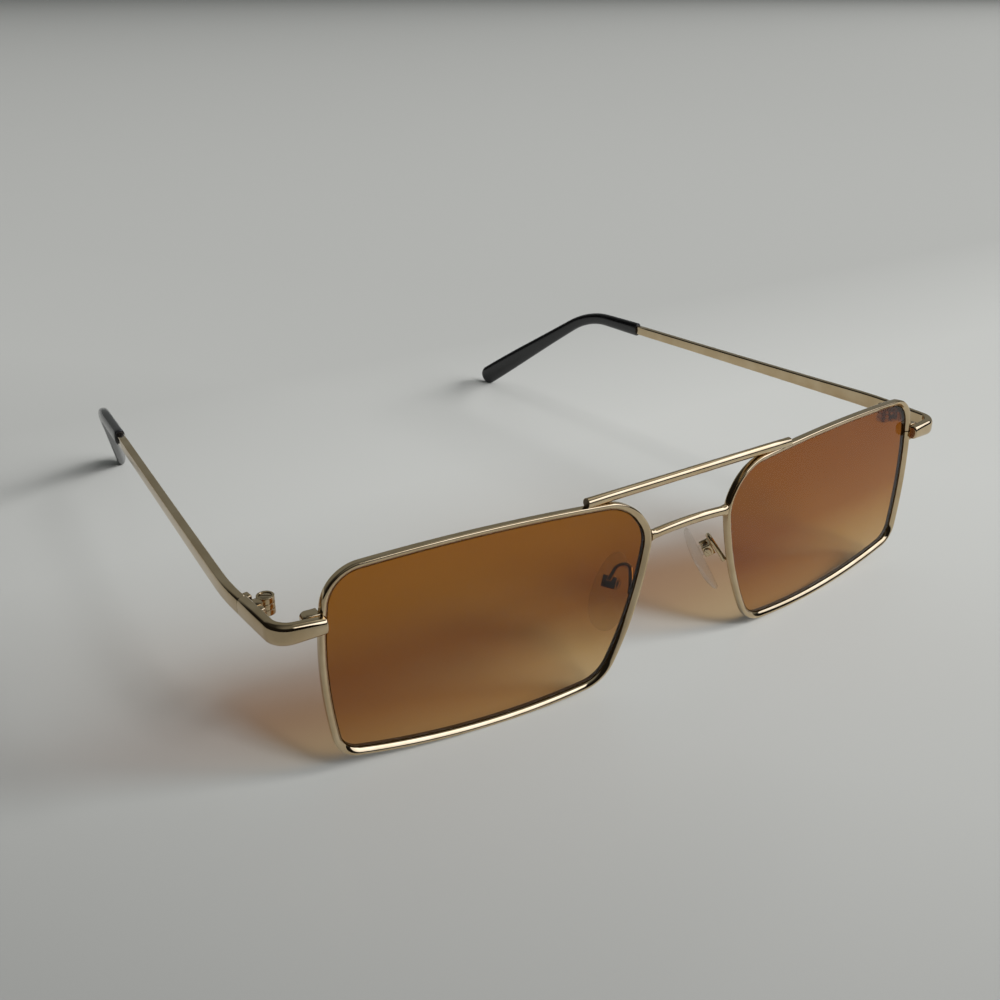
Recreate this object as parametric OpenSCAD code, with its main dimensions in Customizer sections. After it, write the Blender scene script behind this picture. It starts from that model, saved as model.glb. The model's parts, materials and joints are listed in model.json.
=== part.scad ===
// Slim square metal sunglasses with a straight brow bar, standing on their rims and temple tips.
// The wearer looks along -Y, so the wearer's left side is +X. All sizes are in millimetres.

/* [Lens shape] */
// Width of a lens opening between its side corners
lens_w = 54.4; // [50:0.2:60]
// Height of a lens opening between its inner corners
lens_h = 31.3; // [28:0.1:36]
// Clear width between the two lens openings at the bridge
nose_gap = 19.4; // [17:0.1:24]
// Rise of the lower outer corner above the lower inner corner
outer_rise = 1.7; // [0:0.1:4]
// Fall of the top edge towards the nose
top_fall = 0.4; // [0:0.1:2]
// Width of the slanted cut at the upper inner corner
nose_cut_w = 4.6; // [3:0.1:7]
// Height of the slanted cut at the upper inner corner
nose_cut_h = 5.7; // [4:0.1:8]
// Outward run of the inner side from the cut down to the lower corner
nose_slant = 8.3; // [5:0.1:11]
// Radius of the lower outer corner
lower_outer_r = 3.7; // [2.5:0.1:5]
// Radius of the upper outer corner
upper_outer_r = 5.6; // [4:0.1:7]
// Radius where the top edge meets the slanted cut
upper_inner_r = 8.4; // [6:0.1:9]
// Radius where the slanted cut meets the inner side
bridge_corner_r = 5.9; // [4:0.1:7]
// Radius of the lower inner corner
lower_inner_r = 6.2; // [4:0.1:8]
// Outward bow of the outer side
outer_bow = 1.2; // [0.4:0.1:1.8]
// Outward bow of the top edge
top_bow = 0.7; // [0.3:0.1:1.2]
// Outward bow of the inner side
inner_bow = 1.1; // [0.4:0.1:1.6]
// Outward bow of the bottom edge
bottom_bow = 1.9; // [0.8:0.1:2.4]

/* [Front] */
// Turn of each lens back from the middle, in degrees
wrap = 5.9; // [2:0.1:9]
// Backward lean of the lenses as they stand, in degrees
lean = 1.1; // [0:0.1:3]
// Width of the eyewire seen from the front
rim_w = 1.15; // [1:0.05:1.6]
// Depth of the eyewire from front to back
rim_d = 1.6; // [1.4:0.1:2.4]
// Depth of the lens groove into the eyewire
groove_h = 0.4; // [0.3:0.05:0.5]
// Width of the lens groove
groove_w = 0.6; // [0.4:0.05:0.8]
// Thickness of a lens
lens_t = 1.4; // [1.2:0.1:2]
// Gap between a lens and the eyewire that holds it
lens_gap = 0.04; // [0.02:0.01:0.08]
// Diameter of the brow bar
brow_d = 1.7; // [1.2:0.1:2]
// Length of the brow bar
brow_len = 46; // [38:0.5:52]
// Sideways offset of the brow bar towards the wearer's left
brow_shift = 1.6; // [0:0.1:2]
// Depth of the saddle where the brow bar lies on an eyewire
saddle_h = 0.15; // [0.05:0.05:0.3]
// Diameter of the lower bridge wire
bridge_d = 1.7; // [1.2:0.1:2]
// Rise of the lower bridge in its middle
bridge_arch = 0.5; // [0.2:0.1:1.5]
// Fall of the lower bridge below the nose corners of the lens openings
bridge_fall = 0.9; // [0:0.1:2]

/* [End pieces] */
// Height of an end piece at the rim
end_h = 2.6; // [2.2:0.1:3]
// Height of an end piece at its butt joint with the temple
joint_h = 3.4; // [2.8:0.1:4]
// Thickness of an end piece
end_t = 1.7; // [1.3:0.1:2]
// Height of the middle of the end pieces above the lowest corner of the lens openings
end_rise = 24.7; // [22:0.1:26]
// Length of an end piece from the lens edge to its bend
end_run = 4.9; // [4.4:0.1:6]
// Radius of an end piece's bend along its middle
bend_r = 3.0; // [2.5:0.1:4]
// Length of an end piece from its bend to the temple
end_back = 8.1; // [7.4:0.1:9]
// Outward flare of an end piece behind its bend, in degrees
end_flare = 3; // [0:0.1:4]
// Length of a closing block out from the eyewire
block_run = 2.4; // [2.2:0.1:3]
// Height of the upper half of a closing block
block_up = 1.4; // [1.2:0.05:2.4]
// Height of the lower half of a closing block
block_down = 1.9; // [1.6:0.05:2.4]
// Gap between the halves of a closing block
block_gap = 0.2; // [0.1:0.05:0.3]
// Radius of the closing screw's shank
lock_r = 0.45; // [0.4:0.05:0.5]

/* [Hinges] */
// Radius of the hinge knuckles
knuckle_r = 1.35; // [1.25:0.05:1.6]
// Height of the whole hinge barrel
barrel_h = 2.9; // [2.6:0.1:3.6]
// Radius of the hinge screw's shank
pin_r = 0.55; // [0.45:0.05:0.65]
// Radial clearance of the hinge screw in the knuckles
pin_gap = 0.04; // [0.02:0.01:0.08]
// Gap between neighbouring knuckles and at the temple's butt joint
hinge_gap = 0.06; // [0.04:0.01:0.12]
// Length of each hinge leaf's plate along the bar
leaf_len = 1.6; // [1.2:0.1:2.4]

/* [Temples] */
// Length of a temple from its butt joint to the end of its tip
temple_len = 139.5; // [130:0.5:150]
// Thickness of the temple bar
temple_t = 1.5; // [1.2:0.1:1.8]
// Height of the temple bar at its butt joint
temple_h = 3.2; // [2.6:0.1:3.6]
// Height of the temple bar where the tip starts
temple_h_end = 2.2; // [1.8:0.1:2.5]
// Length of the bare metal bar
bar_len = 76; // [70:1:84]
// Inward angle of the temple bar, in degrees
toe_in = 4.6; // [2:0.1:6]
// Fall of the temple bar towards the ear, in degrees
bar_fall = 0.2; // [0:0.1:2]
// Length of the bend over the ear
ear_len = 13.5; // [11:0.5:18]
// Downward turn over the ear, in degrees
ear_drop = 34.2; // [30:0.2:38]
// Inward turn over the ear, in degrees
ear_turn = 13; // [8:0.5:18]
// Height of the tip where it starts
tip_h0 = 3.3; // [3:0.1:4]
// Height of the tip over the ear
tip_h1 = 2.9; // [2.7:0.1:3.6]
// Height of the tip near its end
tip_h2 = 5.2; // [4:0.1:6.5]
// Thickness of the tip
tip_t = 2.1; // [1.9:0.1:2.8]
// Length of the metal core inside the tip
core_len = 46; // [30:1:52]

/* [Nose pads] */
// Height of a pad arm's solder joint above the lowest corner of the lens openings
arm_rise = 13.3; // [11:0.1:16]
// Diameter of the pad arm's wire
arm_d = 0.9; // [0.7:0.05:1.1]
// Length of the pad arm's first leg
arm_leg = 4.8; // [4:0.1:5.4]
// Radius of the pad arm's loop
arm_r = 1.4; // [1.1:0.1:1.6]
// Length of a nose pad
pad_len = 14; // [12:0.2:16]
// Width of a nose pad
pad_w = 7; // [6:0.2:8]
// Thickness of a nose pad at its middle
pad_t = 1.9; // [1.6:0.1:2.4]
// Outward slope of the pads towards their lower ends, in degrees
pad_splay = 26; // [18:1:32]
// Backward slope of the pads towards their upper ends, in degrees
pad_tip = 12; // [6:1:18]
// Turn of the pads' faces towards the wearer, in degrees
pad_face = 28; // [20:1:35]
// Radius of the pad screw's shank
pad_pin_r = 0.4; // [0.35:0.05:0.5]

/* [Hidden] */

// Overshoot of a cutting solid past the face that it cuts
over = 0.5;
// Gap left at a soldered or seated face, and under the end of a screw
seat = 0.02;
tip_space = 0.1;
// Set-back of a lens from the middle of its eyewire
lens_set = 0.05;
// Smoothness of small round features
fine = 48;
gold = [0.86, 0.78, 0.58];
amber = [0.66, 0.40, 0.18, 0.6];
clear_pad = [0.86, 0.88, 0.87, 0.5];
black = [0.05, 0.05, 0.055];

function dir(a) = [cos(a), sin(a)];
function deg(r) = r * 180 / PI;
function smooth(u) = u * u * (3 - 2 * u);
function mix(a, b, u) = a + (b - a) * u;

// Lens outline: corners counter-clockwise from the lower outer one, each with its radius and the
// bow of the edge that leaves it. s runs out from the middle, t runs up.
inner_s = nose_gap / 2;
outer_s = inner_s + lens_w;
corners = [[outer_s, outer_rise], [outer_s, lens_h], [inner_s + nose_cut_w, lens_h - top_fall],
    [inner_s, lens_h - top_fall - nose_cut_h], [inner_s + nose_slant, 0]];
radii = [lower_outer_r, upper_outer_r, upper_inner_r, bridge_corner_r, lower_inner_r];
bows = [outer_bow, top_bow, 0.1, inner_bow, bottom_bow];
CORNERS = 5;
arc_steps = 8;
edge_steps = 10;
function next(i) = (i + 1) % CORNERS;
function prev(i) = (i + CORNERS - 1) % CORNERS;
function edge(i) = corners[next(i)] - corners[i];
function edge_angle(i) = atan2(edge(i)[1], edge(i)[0]);
function bow_angle(i) = deg(4 * bows[i] / norm(edge(i)));
function angle_in(i) = edge_angle(prev(i)) + bow_angle(prev(i));
function angle_out(i) = edge_angle(i) - bow_angle(i);
function turn(i) = (angle_out(i) - angle_in(i) + 720) % 360;
function corner_run(i) = radii[i] * tan(turn(i) / 2);
function arc_start(i) = corners[i] - corner_run(i) * dir(angle_in(i));
function arc_end(i) = corners[i] + corner_run(i) * dir(angle_out(i));
function arc_centre(i) = arc_start(i) + radii[i] * dir(angle_in(i) + 90);
function outward(a) = dir(a - 90);
function arc_point(i, a) = concat(arc_centre(i) + radii[i] * outward(a), outward(a));
function bezier(p, u) = pow(1 - u, 3) * p[0] + 3 * pow(1 - u, 2) * u * p[1] + 3 * (1 - u) * u * u * p[2]
    + pow(u, 3) * p[3];
function edge_curve(i) = let (a = arc_end(i), b = arc_start(next(i)), h = norm(b - a) / 3)
    [a, a + h * dir(angle_out(i)), b - h * dir(angle_in(next(i))), b];
function edge_point(i, u) = concat(bezier(edge_curve(i), u), outward(mix(angle_out(i),
    angle_in(next(i)) + (angle_in(next(i)) < angle_out(i) - 180 ? 360 : 0), u)));
function edge_points(i) = [for (k = [1:edge_steps - 1]) edge_point(i, k / edge_steps)];
function corner_points(i) = [for (k = [0:arc_steps]) arc_point(i, angle_in(i) + turn(i) * k / arc_steps)];
outline = [for (i = [0:CORNERS - 1]) each concat(corner_points(i), edge_points(i))];
function grown(g) = [for (p = outline) [p[0] + g * p[2], p[1] + g * p[3]]];
function edge_path(i) = concat([arc_point(i, angle_out(i))], edge_points(i),
    [arc_point(next(i), angle_in(next(i)))]);
// s of the outer or inner side of a lens opening at a height t, and t of its top edge at s
outer_side = [for (p = edge_path(0)) [p[1], p[0]]];
inner_side = [for (p = edge_path(3)) [p[1], p[0]]];
top_edge = [for (p = edge_path(1)) [p[0], p[1]]];
rim_low = min([for (p = grown(rim_w)) p[1]]);

// Place on the wearer's left lens plane: s outward, n backward from the rim's front, t up
lift = rim_d * sin(lean) - rim_low * cos(lean);
function on_front(s, n, t) = let (b = n * cos(lean) + t * sin(lean))
    [s * cos(wrap) - b * sin(wrap), s * sin(wrap) + b * cos(wrap), lift + t * cos(lean) - n * sin(lean)];
module lens_plane() {
    translate([0, 0, lift]) rotate([0, 0, wrap]) rotate([-lean, 0, 0]) children();
}
module outline_prism(g, n0, n1) {
    translate([0, n1, 0]) rotate([90, 0, 0]) linear_extrude(n1 - n0) polygon(grown(g));
}
module on_right() {
    mirror([1, 0, 0]) children();
}

// End piece and butt joint
end_t0 = end_rise;
end_lap = 0.4;
end_s0 = lookup(end_t0, outer_side) + end_lap;
end_z = on_front(end_s0, 0, end_t0)[2];
end_start = on_front(end_s0, -end_t / 2 - 2 * seat, end_t0);
end_turn = 90 - wrap - end_flare;
bend_start = [end_start[0], end_start[1]] + end_run * dir(wrap);
bend_centre = bend_start + bend_r * dir(wrap + 90);
bend_end = bend_centre + bend_r * outward(90 - end_flare);
joint_heading = 90 - end_flare;
joint_point = bend_end + end_back * dir(joint_heading);
bar_out = outward(joint_heading);
bend_steps = 14;
end_bends = [for (k = [0:bend_steps]) wrap + end_turn * k / bend_steps];
end_outs = concat([outward(wrap)], [for (a = end_bends) outward(a)], [bar_out]);
end_spots = concat([[end_start[0], end_start[1]]], [for (a = end_bends) bend_centre + bend_r * outward(a)],
    [joint_point]);
bend_len = bend_r * end_turn * PI / 180;
end_runs = concat([0], [for (k = [0:bend_steps]) end_run + bend_len * k / bend_steps],
    [end_run + bend_len + end_back]);
function end_height(i) = mix(end_h, joint_h, min(1, end_runs[i] / (end_run + bend_len / 2)));

// Hinge axis: its knuckles stand inside the bar, and its gap is centred on the butt joint
leaf_t = 1.05;
leaf_drop = 0.5;
axis_in = end_t / 2 + leaf_t + knuckle_r;
axis_back = 0.9;
axis_point = joint_point - axis_in * bar_out - axis_back * dir(joint_heading);
knuckle_h = (barrel_h - 2 * hinge_gap) / 3;
barrel_drop = 0.2;
barrel_low = end_z - barrel_h / 2 - barrel_drop;
leaf_clear = knuckle_r + 0.1;
head_sink = 0.4;
head_low = barrel_h - head_sink;
head_h = 0.35;
head_r = 0.95;
slot_w = 0.25;
slot_h = 0.18;

// Closing block on the outside of the eyewire, split level with the end piece's middle
block_s = lookup(end_t0, outer_side) + rim_w / 2;
block_end = lookup(end_t0, outer_side) + rim_w + block_run;
block_d = 2.1;
lock_in = 1.15;
lock_s = block_end - lock_in;
lock_n = block_d / 2;
lock_head_r = 0.8;
lock_head_h = 0.45;
lock_cover = 0.35;
lock_tip = block_up - lock_cover;

// Temple path: stretches of [length, inward turn, downward turn]
joint_run = 1;
joint_turn = 8;
ear_tail = 38.5;
temple_stretches = [[joint_run, 0, 0], [joint_turn, toe_in + end_flare, bar_fall],
    [temple_len - joint_run - joint_turn - ear_len - ear_tail, 0, 0], [ear_len, ear_turn, ear_drop],
    [ear_tail, 0, 1]];
function stretch_at(l, i = 0) = l <= temple_stretches[i][0] || i == len(temple_stretches) - 1
    ? [i, l] : stretch_at(l - temple_stretches[i][0], i + 1);
function sum_before(i, c) = i == 0 ? 0 : temple_stretches[i - 1][c] + sum_before(i - 1, c);
function heading(l) = let (q = stretch_at(l), e = temple_stretches[q[0]])
    joint_heading + sum_before(q[0], 1) + e[1] * q[1] / e[0];
function pitch(l) = let (q = stretch_at(l), e = temple_stretches[q[0]])
    -sum_before(q[0], 2) - e[2] * q[1] / e[0];
function ahead(h, p) = [cos(h) * cos(p), sin(h) * cos(p), sin(p)];
function side_of(h) = [sin(h), -cos(h), 0];
function above(h, p) = [-cos(h) * sin(p), -sin(h) * sin(p), cos(p)];
walk = 1;
function walk_on(p, l) = p + walk * ahead(heading(l + walk / 2), pitch(l + walk / 2));
temple_out = (end_t - temple_t) / 2;
temple_z = end_z + (joint_h - temple_h) / 2;
temple_start = concat(joint_point + temple_out * bar_out + hinge_gap * dir(joint_heading), temple_z);
temple_walk = [for (l = 0, p = temple_start; l <= temple_len; p = walk_on(p, l), l = l + walk) p];
function along(l) = let (i = min(floor(l / walk), len(temple_walk) - 2), u = l / walk - i)
    mix(temple_walk[i], temple_walk[i + 1], u);

// Sections across the temple path: points of [out, up]
bar_edge = 0.35;
function bar_section(w, h) = let (x = w / 2, y = h / 2, c = min(bar_edge, w / 4))
    [[x, -y + c], [x, y - c], [x - c, y], [-x + c, y], [-x, y - c], [-x, -y + c], [-x + c, -y], [x - c, -y]];
round_sides = 16;
squareness = 2.6;
function bent(v) = sign(v) * pow(abs(v), 2 / squareness);
function oval(w, h) = [for (k = [0:round_sides - 1]) let (a = 360 * (k + 0.5) / round_sides)
    [w / 2 * bent(cos(a)), h / 2 * bent(sin(a))]];
function ring(l, section) = [for (q = section)
    along(l) - q[0] * side_of(heading(l)) + q[1] * above(heading(l), pitch(l))];

// Solid through rings of points, closed with a cap at each end
module loft(rings) {
    n = len(rings[0]);
    last = len(rings) - 1;
    points = [for (r = rings) each r];
    sides = [for (i = [0:last - 1], k = [0:n - 1]) let (a = i * n + k, b = i * n + (k + 1) % n)
        each [[a, a + n, b], [b, a + n, b + n]]];
    polyhedron(points, concat([[for (k = [0:n - 1]) k]], sides,
        [[for (k = [0:n - 1]) last * n + n - 1 - k]]));
}

// Nose pad and its arm, whose loop lies in a plane of its own
arm_root_s = lookup(arm_rise, inner_side);
arm_in = 0.75;
arm_root = on_front(arm_root_s - rim_w * arm_in, rim_d + arm_d / 2 + seat, arm_rise);
arm_heading0 = 68;
arm_heading1 = 58;
arm_tail = 2.1;
arm_lean = 36;
arm_out = 26;
arm_stretches = [[arm_leg, arm_heading1 - arm_heading0, 5],
    [arm_r * (arm_heading1 + 90) * PI / 180, -arm_heading1 - 90, 12], [arm_tail, 0, 3]];
arm_steps = [for (e = arm_stretches) each [for (k = [1:e[2]]) [e[0] / e[2], e[1] / e[2]]]];
function arm_angle(i) = i == 0 ? arm_heading0 : arm_angle(i - 1) + arm_steps[i - 1][1];
function arm_flat(i) = i == 0 ? [0, 0]
    : arm_flat(i - 1) + arm_steps[i - 1][0] * dir(arm_angle(i) - arm_steps[i - 1][1] / 2);
pad_up = [-sin(pad_splay) * cos(pad_tip), sin(pad_tip), cos(pad_splay) * cos(pad_tip)];
pad_across = [-cos(pad_splay), 0, -sin(pad_splay)];
pad_rear = [sin(pad_splay) * sin(pad_tip), cos(pad_tip), -cos(pad_splay) * sin(pad_tip)];
arm_up = [-sin(arm_lean), 0, cos(arm_lean)];
arm_back = [sin(arm_out), cos(arm_out), 0];
arm_side = cross(arm_back, arm_up);
function arm_space(v) = arm_root + v[0] * arm_back + v[1] * arm_up;
arm_sides = 10;
function arm_ring(i) = let (a = arm_angle(i), n = cos(a) * arm_up - sin(a) * arm_back)
    [for (k = [0:arm_sides - 1]) let (b = 360 * k / arm_sides)
        arm_space(arm_flat(i)) + arm_d / 2 * (cos(b) * n + sin(b) * arm_side)];
arm_count = len(arm_steps);
arm_end = arm_space(arm_flat(arm_count));

// Pad box: a channel with two cheeks, whose screw is the pad's rocking axis
pad_normal = cos(pad_face) * pad_across + sin(pad_face) * pad_rear;
box_base = 0.5;
box_floor = 0.75;
cheek_t = 0.5;
stud_w = 1.5;
stud_gap = 0.06;
box_len = 2.2;
cheek_reach = 0.7;
cheek_x = stud_w / 2 + stud_gap;
saddle_depth = 0.1;
box_drop = 0.2;
pad_pin = arm_end + (box_floor + box_base + arm_d / 2 - saddle_depth) * pad_normal - box_drop * pad_up;
pad_back = 1.15;
pad_drop = 1.6;
pad_pin_gap = 0.04;
pad_dome_r = 22;
pad_head_r = 0.75;
pad_head_h = 0.4;
pin_proud = 0.2;
stud_h = 1.5;
stud_end = 0.6;
stud_root = 0.3;
pad_extra = 1;
module pad_frame() {
    translate(pad_pin) rotate([0, -pad_splay, 0]) rotate([-pad_tip, 0, 0])
        rotate([0, 0, 90 - pad_face]) children();
}

module eyewire() {
    groove_n = (rim_d - groove_w) / 2;
    color(gold) lens_plane() difference() {
        outline_prism(rim_w, 0, rim_d);
        outline_prism(0, -over, rim_d + over);
        outline_prism(groove_h, groove_n, groove_n + groove_w);
        translate([block_s - rim_w / 2 - over, -over, end_t0 - block_gap / 2])
            cube([rim_w + 2 * over, rim_d + 2 * over, block_gap]);
    }
}

module lens() {
    ridge_n = (rim_d - groove_w) / 2 + lens_gap;
    lens_n = rim_d / 2 - lens_t / 2 + lens_set;
    color(amber) lens_plane() union() {
        outline_prism(-lens_gap, lens_n, lens_n + lens_t);
        outline_prism(groove_h - lens_gap, ridge_n, ridge_n + groove_w - 2 * lens_gap);
    }
}

// Height of the brow bar's axis over the highest part of the rims under it
brow_seat_in = 6;
brow_s = inner_s + nose_cut_w + brow_seat_in;
brow_t = lookup(brow_s, top_edge) + rim_w;
brow_seat = on_front(brow_s, rim_d / 2, brow_t);
brow_y = brow_seat[1];
brow_z = brow_seat[2] + brow_d / 2 - saddle_h;
module brow_wire() {
    color(gold) difference() {
        translate([brow_shift - brow_len / 2, brow_y, brow_z]) rotate([0, 90, 0])
            cylinder(h = brow_len, d = brow_d, $fn = fine);
        lens_plane() outline_prism(rim_w + seat, -over * 2, rim_d + over * 2);
        on_right() lens_plane() outline_prism(rim_w + seat, -over * 2, rim_d + over * 2);
    }
}

// The lower bridge is an arc of wire between the nearest points of the two eyewires
bridge_t = lens_h - top_fall - nose_cut_h - bridge_fall;
bridge_root = on_front(inner_s, rim_d / 2, bridge_t);
bridge_half = inner_s;
bridge_r = (bridge_half * bridge_half + bridge_arch * bridge_arch) / (2 * bridge_arch);
bridge_span = 2 * asin(bridge_half / bridge_r);
module bridge_wire() {
    color(gold) difference() {
        translate([0, bridge_root[1], bridge_root[2] + bridge_arch - bridge_r]) rotate([90, 0, 0])
            rotate([0, 0, 90 - bridge_span / 2]) rotate_extrude(angle = bridge_span, $fn = 360)
                translate([bridge_r, 0]) circle(d = bridge_d, $fn = fine);
        lens_plane() outline_prism(rim_w + seat, -over, rim_d + over);
        on_right() lens_plane() outline_prism(rim_w + seat, -over, rim_d + over);
    }
}

module end_piece() {
    color(gold) loft([for (i = [0:len(end_spots) - 1]) [for (p = bar_section(end_t, end_height(i)))
        concat(end_spots[i] - p[0] * end_outs[i], end_z + p[1])]]);
}

module closing_half(low, high) {
    difference() {
        translate([block_s, 0, low]) cube([block_end - block_s, block_d, high - low]);
        outline_prism(rim_w + seat, -over, block_d + over);
    }
}

module closing_block_upper() {
    low = end_t0 + block_gap / 2;
    color(gold) lens_plane() difference() {
        closing_half(low, low + block_up);
        translate([lock_s, lock_n, low - over])
            cylinder(h = lock_tip + over, r = lock_r + seat, $fn = fine);
    }
}

module closing_block_lower() {
    high = end_t0 - block_gap / 2;
    color(gold) lens_plane() difference() {
        closing_half(high - block_down, high);
        translate([lock_s, lock_n, high - block_down - over])
            cylinder(h = block_down + 2 * over, r = lock_r + seat, $fn = fine);
        translate([lock_s, lock_n, high - block_down - over])
            cylinder(h = over + lock_head_h + seat, r = lock_head_r + seat, $fn = fine);
    }
}

module closing_screw() {
    low = end_t0 - block_gap / 2 - block_down;
    color(gold) lens_plane() translate([lock_s, lock_n, low]) difference() {
        union() {
            cylinder(h = lock_head_h, r = lock_head_r, $fn = fine);
            cylinder(h = block_down + block_gap + lock_tip - tip_space, r = lock_r, $fn = fine);
        }
        translate([-lock_head_r - over, -slot_w / 2, -over])
            cube([2 * (lock_head_r + over), slot_w, over + slot_h]);
    }
}

// Hinge parts stand on the hinge axis, x outward to the bar and y along it
module hinge_frame() {
    translate([axis_point[0], axis_point[1], barrel_low]) rotate([0, 0, joint_heading - 90]) children();
}

module knuckle(k) {
    translate([0, 0, k * (knuckle_h + hinge_gap)]) cylinder(h = knuckle_h, r = knuckle_r, $fn = fine);
}

module web(k, y0, y1) {
    translate([0, y0, k * (knuckle_h + hinge_gap)]) cube([axis_in - end_t / 2 - seat, y1 - y0, knuckle_h]);
}

module leaf_plate(y0) {
    z0 = end_z - end_h / 2 + leaf_drop / 2 - barrel_low;
    translate([axis_in - end_t / 2 - seat - leaf_t, y0, z0]) cube([leaf_t, leaf_len, end_h - leaf_drop]);
}

module hinge_bore(r) {
    translate([0, 0, -over]) cylinder(h = barrel_h + 2 * over, r = r, $fn = fine);
}

module hinge_front_leaf() {
    color(gold) hinge_frame() difference() {
        union() {
            knuckle(0);
            knuckle(2);
            web(0, -leaf_clear, 0);
            web(2, -leaf_clear, 0);
            leaf_plate(-leaf_clear - leaf_len);
        }
        hinge_bore(pin_r + pin_gap / 2);
        translate([0, 0, head_low - seat]) cylinder(h = barrel_h, r = head_r + seat, $fn = fine);
    }
}

module hinge_temple_leaf() {
    color(gold) hinge_frame() difference() {
        union() {
            knuckle(1);
            web(1, axis_back + hinge_gap, leaf_clear);
            leaf_plate(leaf_clear);
        }
        hinge_bore(pin_r + pin_gap);
    }
}

module hinge_screw() {
    color(gold) hinge_frame() difference() {
        union() {
            cylinder(h = head_low + head_h, r = pin_r, $fn = fine);
            translate([0, 0, head_low]) cylinder(h = head_h, r = head_r, $fn = fine);
        }
        translate([-head_r - over, -slot_w / 2, head_low + head_h - slot_h])
            cube([2 * (head_r + over), slot_w, slot_h + over]);
    }
}

// Places of the rings along the temple
bar_places = concat([0, joint_run], [for (k = [1:8]) joint_run + joint_turn * k / 8],
    [for (k = [1:5]) mix(joint_run + joint_turn, bar_len - seat, k / 5)]);
core_w = 0.8;
core_h = 1.3;
core_end = bar_len + core_len;
core_places = [for (k = [0:22]) mix(bar_len, core_end, k / 22)];
function bar_height(l) = let (u = l / bar_len) mix(temple_h, temple_h_end, u * (2 - u));
module temple() {
    color(gold) loft(concat(
        [for (l = bar_places) ring(l, bar_section(temple_t, bar_height(l)))],
        [for (l = core_places) ring(l, bar_section(core_w, core_h))]));
}

bore_gap = 0.1;
bore_space = 0.3;
tip_round = tip_h2 / 2;
mouth = bar_len + seat;
function tip_height(l) = let (m = temple_len - ear_tail - ear_len / 2)
    l < m ? mix(tip_h0, tip_h1, smooth((l - bar_len) / (m - bar_len)))
    : mix(tip_h1, tip_h2, smooth((l - m) / (temple_len - m)));
function tip_scale(l) = let (u = max(0, (l - temple_len + tip_round) / tip_round)) sqrt(1 - u * u * 0.94);
function tip_thick(l) = let (u = max(0, (l - temple_len + tip_t / 2) / (tip_t / 2))) sqrt(1 - u * u * 0.8);
tip_places = concat([for (k = [0:20]) mix(mouth, temple_len - tip_round, k / 20)],
    [for (k = [1:6]) temple_len - tip_round * (1 - sin(90 * k / 6))]);
tip_rings = [for (l = tip_places) ring(l, oval(tip_t * tip_thick(l), tip_height(l) * tip_scale(l)))];
module temple_tip() {
    color(black) loft(concat(
        [for (k = [22:-1:0]) ring(mix(mouth, core_end + bore_space, k / 22),
            oval(core_w + 2 * bore_gap, core_h + 2 * bore_gap))], tip_rings));
}

module pad_arm() {
    color(gold) loft([for (i = [0:arm_count]) arm_ring(i)]);
}

module pad_box() {
    color(gold) difference() {
        pad_frame() difference() {
            translate([-cheek_x - cheek_t, -box_floor - box_base, -box_len / 2])
                cube([2 * (cheek_x + cheek_t), box_base + box_floor + cheek_reach, box_len]);
            translate([-cheek_x, -box_floor, -box_len / 2 - over])
                cube([2 * cheek_x, box_floor + cheek_reach + over, box_len + 2 * over]);
            translate([-cheek_x - cheek_t - over, 0, 0]) rotate([0, 90, 0])
                cylinder(h = 2 * (cheek_x + cheek_t + over), r = pad_pin_r + seat, $fn = fine);
        }
        translate(arm_end - seat * arm_up) rotate([0, -arm_lean, 0])
            cylinder(h = arm_tail, r = arm_d / 2 + seat, $fn = fine);
    }
}

module pad_screw() {
    half = cheek_x + cheek_t;
    color(gold) pad_frame() rotate([0, 90, 0]) difference() {
        union() {
            translate([0, 0, -half - seat]) cylinder(h = 2 * half + pin_proud, r = pad_pin_r, $fn = fine);
            translate([0, 0, -half - seat - pad_head_h]) cylinder(h = pad_head_h, r = pad_head_r, $fn = fine);
        }
        translate([-pad_head_r - over, -slot_w / 2, -half - seat - pad_head_h - over])
            cube([2 * (pad_head_r + over), slot_w, over + slot_h]);
    }
}

// Outline of the pad: round below, narrower above, straighter on the side away from the face
pad_points = 40;
function pad_outline() = [for (k = [0:pad_points - 1]) let (a = 360 * k / pad_points,
    up = sin(a), side = cos(a), narrow = 1 - 0.16 * up - (side < 0 ? 0.18 : 0))
    [pad_w / 2 * narrow * sign(side) * pow(abs(side), 0.85), pad_len / 2 * up]];
module nose_pad() {
    color(clear_pad) pad_frame() difference() {
        union() {
            intersection() {
                translate([0, pad_back, -pad_drop]) rotate([90, 0, 0]) mirror([0, 0, 1])
                    linear_extrude(pad_t + pad_extra) polygon(pad_outline());
                translate([0, pad_back + pad_t - pad_dome_r, -pad_drop])
                    sphere(r = pad_dome_r, $fn = 200);
            }
            translate([-stud_w / 2, -stud_end, -stud_h / 2])
                cube([stud_w, stud_end + pad_back + stud_root, stud_h]);
        }
        translate([-stud_w, 0, 0]) rotate([0, 90, 0])
            cylinder(h = 2 * stud_w, r = pad_pin_r + pad_pin_gap, $fn = fine);
    }
}

// The whole stands with its lowest point on the table, and its box is centred from front to back
front_y = min([for (p = grown(rim_w)) on_front(p[0], 0, p[1])[1]]);
back_y = max([for (r = tip_rings, p = r) p[1]]);
low_z = min([0, for (r = tip_rings, p = r) p[2]]);
module placed() {
    translate([0, -(front_y + back_y) / 2, -low_z]) children();
}

module eyewire_right() {
    placed() on_right() eyewire();
}

module eyewire_left() {
    placed() eyewire();
}

module lens_right() {
    placed() on_right() lens();
}

module lens_left() {
    placed() lens();
}

module end_piece_right() {
    placed() on_right() end_piece();
}

module end_piece_left() {
    placed() end_piece();
}

module closing_block_upper_right() {
    placed() on_right() closing_block_upper();
}

module closing_block_upper_left() {
    placed() closing_block_upper();
}

module closing_block_lower_right() {
    placed() on_right() closing_block_lower();
}

module closing_block_lower_left() {
    placed() closing_block_lower();
}

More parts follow.
